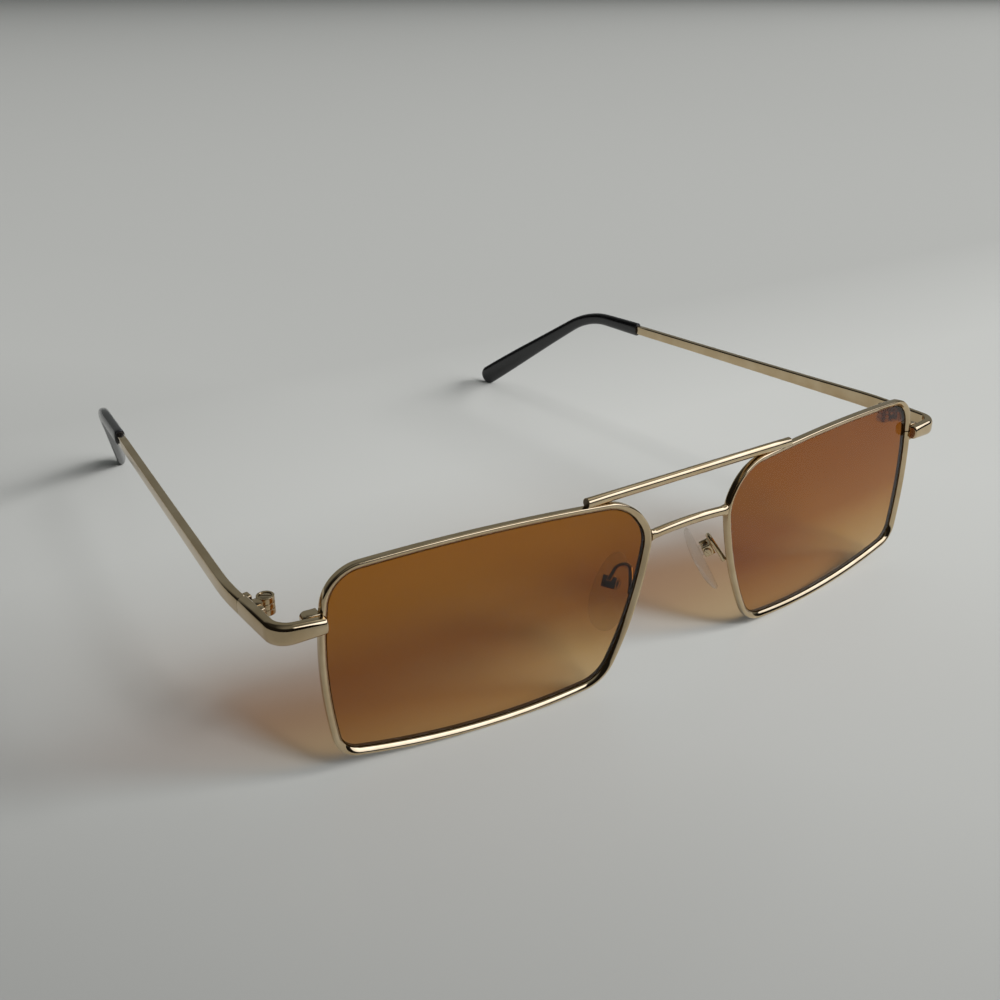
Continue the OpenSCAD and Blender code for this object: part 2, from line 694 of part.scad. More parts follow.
module closing_screw_right() {
    placed() on_right() closing_screw();
}

module closing_screw_left() {
    placed() closing_screw();
}

module hinge_front_leaf_right() {
    placed() on_right() hinge_front_leaf();
}

module hinge_front_leaf_left() {
    placed() hinge_front_leaf();
}

module hinge_temple_leaf_right() {
    placed() on_right() hinge_temple_leaf();
}

module hinge_temple_leaf_left() {
    placed() hinge_temple_leaf();
}

module hinge_screw_right() {
    placed() on_right() hinge_screw();
}

module hinge_screw_left() {
    placed() hinge_screw();
}

module temple_right() {
    placed() on_right() temple();
}

module temple_left() {
    placed() temple();
}

module temple_tip_right() {
    placed() on_right() temple_tip();
}

module temple_tip_left() {
    placed() temple_tip();
}

module pad_arm_right() {
    placed() on_right() pad_arm();
}

module pad_arm_left() {
    placed() pad_arm();
}

module pad_box_right() {
    placed() on_right() pad_box();
}

module pad_box_left() {
    placed() pad_box();
}

module pad_screw_right() {
    placed() on_right() pad_screw();
}

module pad_screw_left() {
    placed() pad_screw();
}

module nose_pad_right() {
    placed() on_right() nose_pad();
}

module nose_pad_left() {
    placed() nose_pad();
}

module brow_bar() {
    placed() brow_wire();
}

module bridge() {
    placed() bridge_wire();
}

eyewire_right();
eyewire_left();
lens_right();
lens_left();
brow_bar();
bridge();
end_piece_right();
end_piece_left();
closing_block_upper_right();
closing_block_upper_left();
closing_block_lower_right();
closing_block_lower_left();
closing_screw_right();
closing_screw_left();
hinge_front_leaf_right();
hinge_front_leaf_left();
hinge_temple_leaf_right();
hinge_temple_leaf_left();
hinge_screw_right();
hinge_screw_left();
temple_right();
temple_left();
temple_tip_right();
temple_tip_left();
pad_arm_right();
pad_arm_left();
pad_box_right();
pad_box_left();
pad_screw_right();
pad_screw_left();
nose_pad_right();
nose_pad_left();
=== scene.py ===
"""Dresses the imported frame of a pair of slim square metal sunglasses.

The CAD frame gives every place and size. Each piece made here stands for one of its nodes, with
the rounded edges, domes and finish of the real one. Shapes are worked out in millimetres for the
wearer's left and mirrored for the right.
"""

import json
import logging
import math
from dataclasses import dataclass, field
from enum import Enum, IntEnum
from typing import Callable, Iterable, Sequence

import bmesh
import bpy
from mathutils import Matrix, Vector


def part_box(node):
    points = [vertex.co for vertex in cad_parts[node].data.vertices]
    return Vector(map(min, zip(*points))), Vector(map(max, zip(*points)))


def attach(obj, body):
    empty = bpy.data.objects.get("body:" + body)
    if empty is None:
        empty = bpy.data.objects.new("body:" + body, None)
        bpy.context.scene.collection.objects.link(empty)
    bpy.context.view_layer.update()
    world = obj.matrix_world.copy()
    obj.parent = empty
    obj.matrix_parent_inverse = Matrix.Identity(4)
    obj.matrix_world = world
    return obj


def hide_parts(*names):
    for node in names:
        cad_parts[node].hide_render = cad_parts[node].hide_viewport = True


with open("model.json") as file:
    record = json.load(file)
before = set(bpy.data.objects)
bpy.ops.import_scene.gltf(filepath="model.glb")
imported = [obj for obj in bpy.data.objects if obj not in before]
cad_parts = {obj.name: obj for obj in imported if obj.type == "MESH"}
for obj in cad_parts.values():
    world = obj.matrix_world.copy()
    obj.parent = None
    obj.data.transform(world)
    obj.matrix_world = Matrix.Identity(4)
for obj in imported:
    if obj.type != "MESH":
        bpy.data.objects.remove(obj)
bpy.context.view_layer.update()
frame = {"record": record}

MM = 0.001
log = logging.getLogger("sunglasses")

QUARTERS = ((1, 1), (-1, 1), (-1, -1), (1, -1))
SLIVER = 1e-4
LEAST_RADIUS = 1e-3
MOST_ROUND = 0.49
FACING_BLEND = 0.5
SHEEN_POWER = 5.0

Pair = tuple[float, float]
Triple = tuple[float, float, float]
Colour = Triple
Stops = Sequence[tuple[float, Colour]]


class Side(Enum):
    """The wearer's side that a piece belongs to; its value is the sign of X."""

    RIGHT = -1
    LEFT = 1

    @property
    def word(self) -> str:
        """The side's name as node names end in it."""
        return self.name.lower()


class Body(Enum):
    """The bodies of the frame that pieces ride on."""

    FRONT = "front"
    TEMPLE = "temple"
    PAD = "pad"

    def of(self, side: Side) -> str:
        """Name of this body on one side; the front has only one."""
        return self.value if self is Body.FRONT else f"{self.value}_{side.word}"


class Slot(Enum):
    """Material slots of the record."""

    GOLD = "gold"
    SCREW = "screw"
    LENS = "lens"
    TIP = "tip"
    PAD = "pad"


class Edge(IntEnum):
    """Upright edges of the lens opening; each leaves the corner of its number."""

    OUTER = 0
    NOSE = 3


class Knuckle(IntEnum):
    """Knuckles of a hinge from below."""

    BOTTOM = 0
    MIDDLE = 1
    TOP = 2


def angle_vector(degrees: float) -> Vector:
    """Unit vector in the plane at an angle from the first axis."""
    a = math.radians(degrees)
    return Vector((math.cos(a), math.sin(a)))


def mix(a: float, b: float, u: float) -> float:
    """Value a share u of the way from a to b."""
    return a + (b - a) * u


def eased(u: float) -> float:
    """Share that starts and ends gently."""
    return u * u * (3 - 2 * u)


def shares(count: int) -> list[float]:
    """Shares of a whole in equal steps, from 0 to 1."""
    return [k / count for k in range(count + 1)]


def joint_place(name: str) -> list[float]:
    """Place of a joint of the frame, in millimetres."""
    joint = next(j for j in frame["record"]["behaviour"]["joints"] if j["name"] == name)
    return [v / MM for v in joint["pos_m"]]


def round_cornered(width: float, height: float, reaches: Sequence[Pair], steps: int) -> list[Pair]:
    """Outline of a rectangle with a round corner in each quarter, counter-clockwise.

    Args:
        width: Size along the first axis.
        height: Size along the second axis.
        reaches: Reach of each corner's rounding along both axes, by quarter.
        steps: Number of edges in each corner.

    Returns:
        The outline's points.
    """
    points = []
    for quarter, ((sx, sy), (rx, ry)) in enumerate(zip(QUARTERS, reaches)):
        for u in shares(steps):
            d = angle_vector(90 * (quarter + u))
            points.append((sx * (width / 2 - rx) + rx * d.x, sy * (height / 2 - ry) + ry * d.y))
    return points


def rounded_rectangle(width: float, height: float, radius: float, steps: int) -> list[Pair]:
    """Outline of a rectangle with round corners, counter-clockwise about its middle.

    Args:
        width: Size along the first axis.
        height: Size along the second axis.
        radius: Radius of the corners.
        steps: Number of edges in each corner.

    Returns:
        The outline's points.
    """
    r = max(min(radius, width / 2 - SLIVER, height / 2 - SLIVER), LEAST_RADIUS)
    return round_cornered(width, height, [(r, r)] * len(QUARTERS), steps)


def crowned(width: float, height: float, outer: Pair, inner: float, steps: int = 8) -> list[Pair]:
    """Section of a flat strip whose outer side is more rounded than its inner side.

    Args:
        width: Size from the inner to the outer side.
        height: Size from bottom to top.
        outer: Reach of the outer rounding across and down the strip.
        inner: Radius of the inner edges.
        steps: Number of edges in each corner.

    Returns:
        The outline's points, counter-clockwise with the outer side on the first axis.
    """
    wanted = [outer if sx > 0 else (inner, inner) for sx, _ in QUARTERS]
    reaches = [(min(rx, width * MOST_ROUND), min(ry, height * MOST_ROUND)) for rx, ry in wanted]
    return round_cornered(width, height, reaches, steps)


def circle(radius: float, sides: int) -> list[Pair]:
    """Points of a circle about the middle."""
    return [tuple(radius * angle_vector(360 * k / sides)) for k in range(sides)]


@dataclass
class Station:
    """A place on a path, with the way ahead and the two directions across it."""

    point: Vector
    ahead: Vector
    across: Vector
    up: Vector

    def ring(self, section: Iterable[Pair], forward: float = 0.0) -> list[Vector]:
        """Points of a section set square across the path here."""
        at = self.point + self.ahead * forward
        return [at + self.across * a + self.up * b for a, b in section]


class Solid:
    """A closed mesh in millimetres that is shaped step by step, like a blank on a bench."""

    def __init__(self, mesh: bmesh.types.BMesh) -> None:
        """Takes over a mesh."""
        self.mesh = mesh

    @classmethod
    def loft(cls, rings: Sequence[Sequence[Vector]], closed: bool = False) -> "Solid":
        """Skin through rings of points.

        Args:
            rings: Rings with the same number of points.
            closed: Whether the last ring joins the first; otherwise both ends are capped.

        Returns:
            The solid.
        """
        mesh = bmesh.new()
        rows = [[mesh.verts.new(p) for p in ring] for ring in rings]
        pairs = list(zip(rows, rows[1:])) + ([(rows[-1], rows[0])] if closed else [])
        for low, high in pairs:
            for k in range(len(low)):
                j = (k + 1) % len(low)
                mesh.faces.new((low[k], low[j], high[j], high[k]))
        if not closed:
            mesh.faces.new(list(reversed(rows[0])))
            mesh.faces.new(rows[-1])
        bmesh.ops.recalc_face_normals(mesh, faces=mesh.faces[:])
        return cls(mesh)

    @classmethod
    def sweep(cls, stations: Sequence[Station], section: Callable[[float, float], list[Pair]],
              ends: Pair, steps: int = 3) -> "Solid":
        """Section carried along a path, with its ends rounded over.

        Args:
            stations: Places along the path.
            section: Gives the outline for a share of the path and an inset from its full size.
            ends: Radius that rounds the first and the last end.
            steps: Number of rings in each rounded end.

        Returns:
            The solid.
        """
        def rounding(station: Station, share: float, radius: float) -> list[list[Vector]]:
            """Rings of one rounded end, from its face to the full section."""
            way = 1 if share == 0 else -1
            return [station.ring(section(share, radius * (1 - math.sin(a))),
                                 way * radius * (1 - math.cos(a)))
                    for a in (math.pi / 2 * u for u in shares(steps))]

        last = len(stations) - 1
        rings = rounding(stations[0], 0, ends[0])
        rings += [s.ring(section((i + 1) / last, 0)) for i, s in enumerate(stations[1:-1])]
        rings += reversed(rounding(stations[-1], 1, ends[1]))
        return cls.loft(rings)

    @classmethod
    def prism(cls, outline: Sequence[Pair], low: float, high: float) -> "Solid":
        """Flat outline raised from one height to another."""
        return cls.loft([[Vector((x, y, z)) for x, y in outline] for z in (low, high)])

    @classmethod
    def box(cls, low: Sequence[float], high: Sequence[float]) -> "Solid":
        """Block between two corners."""
        outline = [(low[0], low[1]), (high[0], low[1]), (high[0], high[1]), (low[0], high[1])]
        return cls.prism(outline, low[2], high[2])

    @classmethod
    def lathe(cls, profile: Sequence[Pair], hollow: bool = False, sides: int = 48) -> "Solid":
        """Profile turned about the upright axis.

        Args:
            profile: Points of radius and height, from the bottom up or all round a hollow wall.
            hollow: Whether the profile closes on itself.
            sides: Number of sides of the turned solid.

        Returns:
            The solid.
        """
        ways = [angle_vector(360 * k / sides) for k in range(sides)]
        rings = [[Vector((r * d.x, r * d.y, z)) for d in ways] for r, z in profile]
        return cls.loft(rings, hollow)

    def rounded(self, radius: float, steps: int = 3, least: float = 25.0) -> "Solid":
        """Rounds every edge that is sharp enough.

        Args:
            radius: Radius of the rounding.
            steps: Number of faces across it.
            least: Least angle of an edge that is rounded, in degrees.

        Returns:
            The same solid.
        """
        edges = [e for e in self.mesh.edges if e.calc_face_angle(0.0) > math.radians(least)]
        bmesh.ops.bevel(self.mesh, geom=edges, offset=radius, offset_type="OFFSET", segments=steps,
                        profile=0.5, affect="EDGES", clamp_overlap=True)
        return self

    def marked(self, chosen: Callable[[bmesh.types.BMFace], bool]) -> "Solid":
        """Marks faces that get the piece's second finish.

        Args:
            chosen: Says whether a face is marked.

        Returns:
            The same solid.
        """
        for face in self.mesh.faces:
            face.material_index = int(chosen(face))
        return self

    def moved(self, matrix: Matrix) -> "Solid":
        """Moves the whole solid."""
        bmesh.ops.transform(self.mesh, matrix=matrix, verts=self.mesh.verts[:])
        return self

    def bent(self, place: Callable[[Vector], Vector]) -> "Solid":
        """Puts every point where a function says.

        Args:
            place: Gives a point's new place.

        Returns:
            The same solid.
        """
        for vertex in self.mesh.verts:
            vertex.co = place(vertex.co)
        bmesh.ops.recalc_face_normals(self.mesh, faces=self.mesh.faces[:])
        return self

    def joined(self, other: "Solid") -> "Solid":
        """Grows this solid by another one."""
        return self._combined(other, "UNION")

    def without(self, other: "Solid") -> "Solid":
        """Cuts another solid out of this one."""
        return self._combined(other, "DIFFERENCE")

    def _combined(self, other: "Solid", operation: str) -> "Solid":
        """Exact boolean of this solid and another, which is used up.

        Args:
            other: The other solid.
            operation: Blender's name of the boolean.

        Returns:
            The same solid, changed.
        """
        blanks = []
        for solid in (self, other):
            data = bpy.data.meshes.new("blank")
            solid.mesh.to_mesh(data)
            solid.mesh.free()
            blank = bpy.data.objects.new("blank", data)
            bpy.context.scene.collection.objects.link(blank)
            blanks.append(blank)
        step = blanks[0].modifiers.new("combine", "BOOLEAN")
        step.operation, step.solver, step.object = operation, "EXACT", blanks[1]
        graph = bpy.context.evaluated_depsgraph_get()
        result = bpy.data.meshes.new_from_object(blanks[0].evaluated_get(graph))
        self.mesh = bmesh.new()
        self.mesh.from_mesh(result)
        for blank in blanks:
            data = blank.data
            bpy.data.objects.remove(blank)
            bpy.data.meshes.remove(data)
        bpy.data.meshes.remove(result)
        return self

    def piece(self, name: str, side: Side, finish: "Finish", body: Body, node: str,
              crease: float = 38.0, second: "Finish | None" = None) -> bpy.types.Object:
        """Turns the solid into a piece of the scene that stands for a CAD node.

        Args:
            name: Name of the new object.
            side: Side that it belongs to; the right side is mirrored.
            finish: Material that it gets.
            body: Body that it rides on.
            node: CAD node that it stands for.
            crease: Edges sharper than this angle, in degrees, are shaded as edges.
            second: Finish of the marked faces.

        Returns:
            The object.
        """
        scale = Matrix.Diagonal((side.value * MM, MM, MM, 1.0))
        limit = math.radians(crease)
        for edge in self.mesh.edges:
            edge.smooth = edge.calc_face_angle(0.0) < limit
        for face in self.mesh.faces:
            face.smooth = True
        bmesh.ops.transform(self.mesh, matrix=scale, verts=self.mesh.verts[:])
        if side is Side.RIGHT:
            bmesh.ops.reverse_faces(self.mesh, faces=self.mesh.faces[:])
        data = bpy.data.meshes.new(name)
        self.mesh.to_mesh(data)
        self.mesh.free()
        data.materials.append(finish.material())
        if second:
            data.materials.append(second.material())
        thing = bpy.data.objects.new(name, data)
        bpy.context.scene.collection.objects.link(thing)
        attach(thing, body.of(side))
        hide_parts(node)
        log.info("%s: %d faces, rides on %s", name, len(data.polygons), body.of(side))
        return thing


# Finishes


class Bench:
    """Node tree of one material, with short ways to add and join its nodes."""

    def __init__(self, name: str) -> None:
        """Starts an empty material with its output node.

        Args:
            name: Name of the material.
        """
        self.made = bpy.data.materials.new(name)
        self.made.use_nodes = True
        self.tree = self.made.node_tree
        self.tree.nodes.clear()
        self.output = self.add("ShaderNodeOutputMaterial")

    def add(self, kind: str, **inputs: object) -> bpy.types.Node:
        """Adds a node and sets its inputs.

        Args:
            kind: Type of the node.
            **inputs: Values by the name of the input, with underscores for its spaces.

        Returns:
            The node.
        """
        node = self.tree.nodes.new(kind)
        for key, value in inputs.items():
            node.inputs[key.replace("_", " ")].default_value = value
        return node

    def join(self, source: bpy.types.NodeSocket, target: bpy.types.NodeSocket) -> None:
        """Joins an output to an input."""
        self.tree.links.new(source, target)

    def place(self) -> bpy.types.NodeSocket:
        """Position on the object, in metres."""
        return self.add("ShaderNodeTexCoord").outputs["Object"]

    def noise(self, scale: float, detail: float = 3.0) -> bpy.types.NodeSocket:
        """Noise over the object, from 0 to 1.

        Args:
            scale: Number of grains in a metre.
            detail: Number of finer layers.

        Returns:
            The noise.
        """
        node = self.add("ShaderNodeTexNoise", Scale=scale, Detail=detail)
        self.join(self.place(), node.inputs["Vector"])
        return node.outputs["Fac"]

    def spread(self, source: bpy.types.NodeSocket, low: float, high: float,
               start: float = 0.3, end: float = 0.7) -> bpy.types.NodeSocket:
        """Maps a value between start and end to low and high.

        Args:
            source: Value to map.
            low: Result at the start.
            high: Result at the end.
            start: Value that gives the low result.
            end: Value that gives the high result.

        Returns:
            The mapped value.
        """
        node = self.add("ShaderNodeMapRange")
        names = ("From Min", "From Max", "To Min", "To Max")
        for key, value in zip(names, (start, end, low, high)):
            node.inputs[key].default_value = value
        self.join(source, node.inputs["Value"])
        return node.outputs["Result"]

    def ramp(self, source: bpy.types.NodeSocket, stops: Stops) -> bpy.types.NodeSocket:
        """Colours along a value from 0 to 1.

        Args:
            source: Value that picks the colour.
            stops: Places and their colours.

        Returns:
            The colour.
        """
        node = self.add("ShaderNodeValToRGB")
        band = node.color_ramp
        while len(band.elements) < len(stops):
            band.elements.new(0.5)
        for element, (place, colour) in zip(band.elements, stops):
            element.position = place
            element.color = (*colour, 1.0)
        self.join(source, node.inputs["Fac"])
        return node.outputs["Color"]

    def bump(self, height: bpy.types.NodeSocket, strength: float,
             distance: float) -> bpy.types.NodeSocket:
        """Surface relief from a height.

        Args:
            height: Height from 0 to 1.
            strength: Share of the relief that shows.
            distance: Full height in metres.

        Returns:
            The bent normal.
        """
        node = self.add("ShaderNodeBump", Strength=strength, Distance=distance)
        self.join(height, node.inputs["Height"])
        return node.outputs["Normal"]

    def sheen(self, straight: float) -> bpy.types.NodeSocket:
        """Share of light that a clear skin throws back.

        Args:
            straight: Share thrown back straight on.

        Returns:
            The share, which is 1 at a full slant.
        """
        power = self.add("ShaderNodeMath")
        power.operation = "POWER"
        power.inputs[1].default_value = SHEEN_POWER
        self.join(self.facing(), power.inputs[0])
        return self.spread(power.outputs["Value"], straight, 1.0, 0.0, 1.0)

    def facing(self) -> bpy.types.NodeSocket:
        """How far the surface is turned away from the eye, from 0 to 1."""
        return self.add("ShaderNodeLayerWeight", Blend=FACING_BLEND).outputs["Facing"]

    def coordinate(self, axis: str) -> bpy.types.NodeSocket:
        """One coordinate of the position on the object.

        Args:
            axis: Name of the axis.

        Returns:
            The coordinate in metres.
        """
        split = self.add("ShaderNodeSeparateXYZ")
        self.join(self.place(), split.inputs["Vector"])
        return split.outputs[axis]

    def vary(self, target: bpy.types.NodeSocket, scale: float, limits: Pair,
             detail: float = 3.0) -> None:
        """Lets noise drive an input between two limits."""
        self.join(self.spread(self.noise(scale, detail), *limits), target)

    def shared(self, share: "float | bpy.types.NodeSocket", first: bpy.types.NodeSocket,
               second: bpy.types.NodeSocket) -> bpy.types.NodeSocket:
        """Mixes two shaders.

        Args:
            share: Share of the second shader.
            first: The first shader.
            second: The second shader.

        Returns:
            The mixed shader.
        """
        node = self.add("ShaderNodeMixShader")
        if isinstance(share, float):
            node.inputs["Fac"].default_value = share
        else:
            self.join(share, node.inputs["Fac"])
        self.join(first, node.inputs[1])
        self.join(second, node.inputs[2])
        return node.outputs["Shader"]

    def finish(self, surface: bpy.types.NodeSocket) -> bpy.types.Material:
        """Sends a shader to the output and gives the material."""
        self.join(surface, self.output.inputs["Surface"])
        return self.made


@dataclass(frozen=True)
class Finish:
    """A finish of the record's slots; its material is made once."""

    name: str
    slot: Slot

    def material(self) -> bpy.types.Material:
        """The finish's material, made when it is first asked for."""
        return bpy.data.materials.get(self.name) or self.mixed()

    def mixed(self) -> bpy.types.Material:
        """Makes the material."""
        raise NotImplementedError


@dataclass(frozen=True)
class GoldPlating(Finish):
    """Polished pale gold plate with faint polishing marks and uneven tone."""

    bright: Colour = (0.62, 0.49, 0.315)
    deep: Colour = (0.55, 0.418, 0.25)
    tones_from: Pair = (0.35, 0.65)
    tone_scale: float = 220.0
    roughness: Pair = (0.044, 0.0715)
    gloss_scale: float = 900.0
    gloss_detail: float = 6.0
    waviness: float = 0.05
    mark_scale: float = 2600.0
    mark_detail: float = 2.0
    mark_height: float = 0.00002

    def mixed(self) -> bpy.types.Material:
        """Makes the metal: cloudy tone, cloudy gloss and hair-fine marks.

        Returns:
            The material.
        """
        b = Bench(self.name)
        shader = b.add("ShaderNodeBsdfPrincipled", Metallic=1.0)
        tones = list(zip(self.tones_from, (self.deep, self.bright)))
        b.join(b.ramp(b.noise(self.tone_scale), tones), shader.inputs["Base Color"])
        b.vary(shader.inputs["Roughness"], self.gloss_scale, self.roughness, self.gloss_detail)
        marks = b.noise(self.mark_scale, self.mark_detail)
        b.join(b.bump(marks, self.waviness, self.mark_height), shader.inputs["Normal"])
        return b.finish(shader.outputs["BSDF"])


@dataclass(frozen=True)
class AmberLens(Finish):
    """Amber-brown sheet lens that gets paler towards its lower edge.

    Light enters through a clear gloss and takes the tint where it leaves the sheet.
    """

    stops: Stops = (
        (0.0, (0.74, 0.52, 0.27)), (0.18, (0.66, 0.41, 0.17)), (0.45, (0.50, 0.22, 0.05)),
        (0.75, (0.43, 0.165, 0.016)), (1.0, (0.40, 0.145, 0.010)))
    low: float = 0.0025
    high: float = 0.0345
    cloud: Pair = (-0.02, 0.02)
    cloud_scale: float = 60.0
    gloss: Colour = (1.0, 0.98, 0.95)
    roughness: Pair = (0.024, 0.056)
    gloss_scale: float = 300.0
    straight: float = 0.03
    slants: Pair = (0.25, 0.54)
    slanted_depth: float = 1.3

    def mixed(self) -> bpy.types.Material:
        """Makes a gloss that grows at a slant on the way in, and the tint on the way out.

        Slanted light has a longer way through the sheet, which deepens the tint.

        Returns:
            The material.
        """
        b = Bench(self.name)
        total = b.add("ShaderNodeMath")
        b.join(b.spread(b.coordinate("Z"), 0.0, 1.0, self.low, self.high), total.inputs[0])
        b.vary(total.inputs[1], self.cloud_scale, self.cloud)
        deeper = b.add("ShaderNodeGamma")
        b.join(b.ramp(total.outputs["Value"], self.stops), deeper.inputs["Color"])
        b.join(b.spread(b.facing(), 1.0, self.slanted_depth, *self.slants),
               deeper.inputs["Gamma"])
        tint, clear = b.add("ShaderNodeBsdfTransparent"), b.add("ShaderNodeBsdfTransparent")
        b.join(deeper.outputs["Color"], tint.inputs["Color"])
        gloss = b.add("ShaderNodeBsdfGlossy", Color=(*self.gloss, 1.0))
        b.vary(gloss.inputs["Roughness"], self.gloss_scale, self.roughness)
        entering = b.shared(b.sheen(self.straight), clear.outputs["BSDF"], gloss.outputs["BSDF"])
        leaves = b.add("ShaderNodeNewGeometry").outputs["Backfacing"]
        return b.finish(b.shared(leaves, entering, tint.outputs["BSDF"]))


@dataclass(frozen=True)
class ShadedLensEdge(Finish):
    """Ground edge of a tinted lens: matt, with a dark brown colour that is painted shade, drawing
    the dark line where lens meets rim.
    """

    stops: Stops = (
        (0.0, (0.060, 0.038, 0.014)), (1.0, (0.045, 0.024, 0.008)))
    low: float = 0.0025
    high: float = 0.0345
    roughness: Pair = (0.3, 0.6)
    grain_scale: float = 900.0

    def mixed(self) -> bpy.types.Material:
        """Makes the matt edge, painted dark as shade and a little paler low down.

        Returns:
            The material.
        """
        b = Bench(self.name)
        height = b.spread(b.coordinate("Z"), 0.0, 1.0, self.low, self.high)
        chalk = b.add("ShaderNodeBsdfDiffuse")
        b.join(b.ramp(height, self.stops), chalk.inputs["Color"])
        b.vary(chalk.inputs["Roughness"], self.grain_scale, self.roughness)
        return b.finish(chalk.outputs["BSDF"])


@dataclass(frozen=True)
class GlossBlack(Finish):
    """Glossy black moulded plastic with a slightly wavy skin."""

    colour: Colour = (0.008, 0.008, 0.009)
    lighter: Colour = (0.016, 0.016, 0.018)
    tones_from: Pair = (0.35, 0.7)
    tone_scale: float = 180.0
    roughness: Pair = (0.16, 0.24)
    gloss_scale: float = 700.0
    refraction: float = 1.5
    coat: float = 0.3
    coat_roughness: float = 0.08
    waviness: float = 0.04
    wave_scale: float = 350.0
    wave_detail: float = 1.0
    wave_height: float = 0.00006

    def mixed(self) -> bpy.types.Material:
        """Makes the plastic.

        Returns:
            The material.
        """
        b = Bench(self.name)
        shader = b.add("ShaderNodeBsdfPrincipled", IOR=self.refraction, Coat_Weight=self.coat,
                       Coat_Roughness=self.coat_roughness)
        tones = list(zip(self.tones_from, (self.colour, self.lighter)))
        b.join(b.ramp(b.noise(self.tone_scale), tones), shader.inputs["Base Color"])
        b.vary(shader.inputs["Roughness"], self.gloss_scale, self.roughness)
        waves = b.noise(self.wave_scale, self.wave_detail)
        b.join(b.bump(waves, self.waviness, self.wave_height), shader.inputs["Normal"])
        return b.finish(shader.outputs["BSDF"])


@dataclass(frozen=True)
class ClearPad(Finish):
    """Clear soft plastic, a little milky, with a smooth skin."""

    clear: Colour = (0.955, 0.955, 0.95)
    clearer: Colour = (0.975, 0.975, 0.97)
    tones_from: Pair = (0.3, 0.7)
    tone_scale: float = 250.0
    milk: Colour = (0.80, 0.80, 0.80)
    share: float = 0.10
    roughness: Pair = (0.08, 0.16)
    gloss_scale: float = 500.0
    straight: float = 0.03

    def mixed(self) -> bpy.types.Material:
        """Makes a clear body with a little scatter under a gloss.

        Returns:
            The material.
        """
        b = Bench(self.name)
        tint = b.add("ShaderNodeBsdfTransparent")
        tones = list(zip(self.tones_from, (self.clear, self.clearer)))
        b.join(b.ramp(b.noise(self.tone_scale), tones), tint.inputs["Color"])
        milk = b.add("ShaderNodeBsdfTranslucent", Color=(*self.milk, 1.0))
        body = b.shared(self.share, tint.outputs["BSDF"], milk.outputs["BSDF"])
        gloss = b.add("ShaderNodeBsdfGlossy")
        b.vary(gloss.inputs["Roughness"], self.gloss_scale, self.roughness)
        return b.finish(b.shared(b.sheen(self.straight), body, gloss.outputs["BSDF"]))


GOLD = GoldPlating("pale_gold_plate", Slot.GOLD)
# Finish of the brow bar's cut ends: rougher bare metal, with a dark colour that is painted shade.
PAINTED_DARK_END = GoldPlating("cut_end_painted_dark", Slot.GOLD, bright=(0.20, 0.15, 0.10),
                        deep=(0.09, 0.07, 0.05), roughness=(0.272, 0.442))
SCREW_GOLD = GoldPlating("pale_gold_screw", Slot.SCREW, bright=(0.60, 0.49, 0.32),
                         deep=(0.50, 0.39, 0.25), roughness=(0.16, 0.26))
AMBER = AmberLens("amber_lens", Slot.LENS)
# The lens edge is painted dark brown: painted shade.
SHADED_LENS_EDGE = ShadedLensEdge("amber_lens_edge", Slot.LENS)
BLACK = GlossBlack("gloss_black_tip", Slot.TIP)
CLEAR = ClearPad("clear_pad", Slot.PAD)


# Lens outline and its plane


@dataclass(frozen=True)
class OutlinePoint:
    """A point of the lens opening with the way out of it, in the lens plane."""

    s: float
    t: float
    out_s: float
    out_t: float

    def grown(self, by: float) -> Pair:
        """The point moved outward."""
        return self.s + by * self.out_s, self.t + by * self.out_t


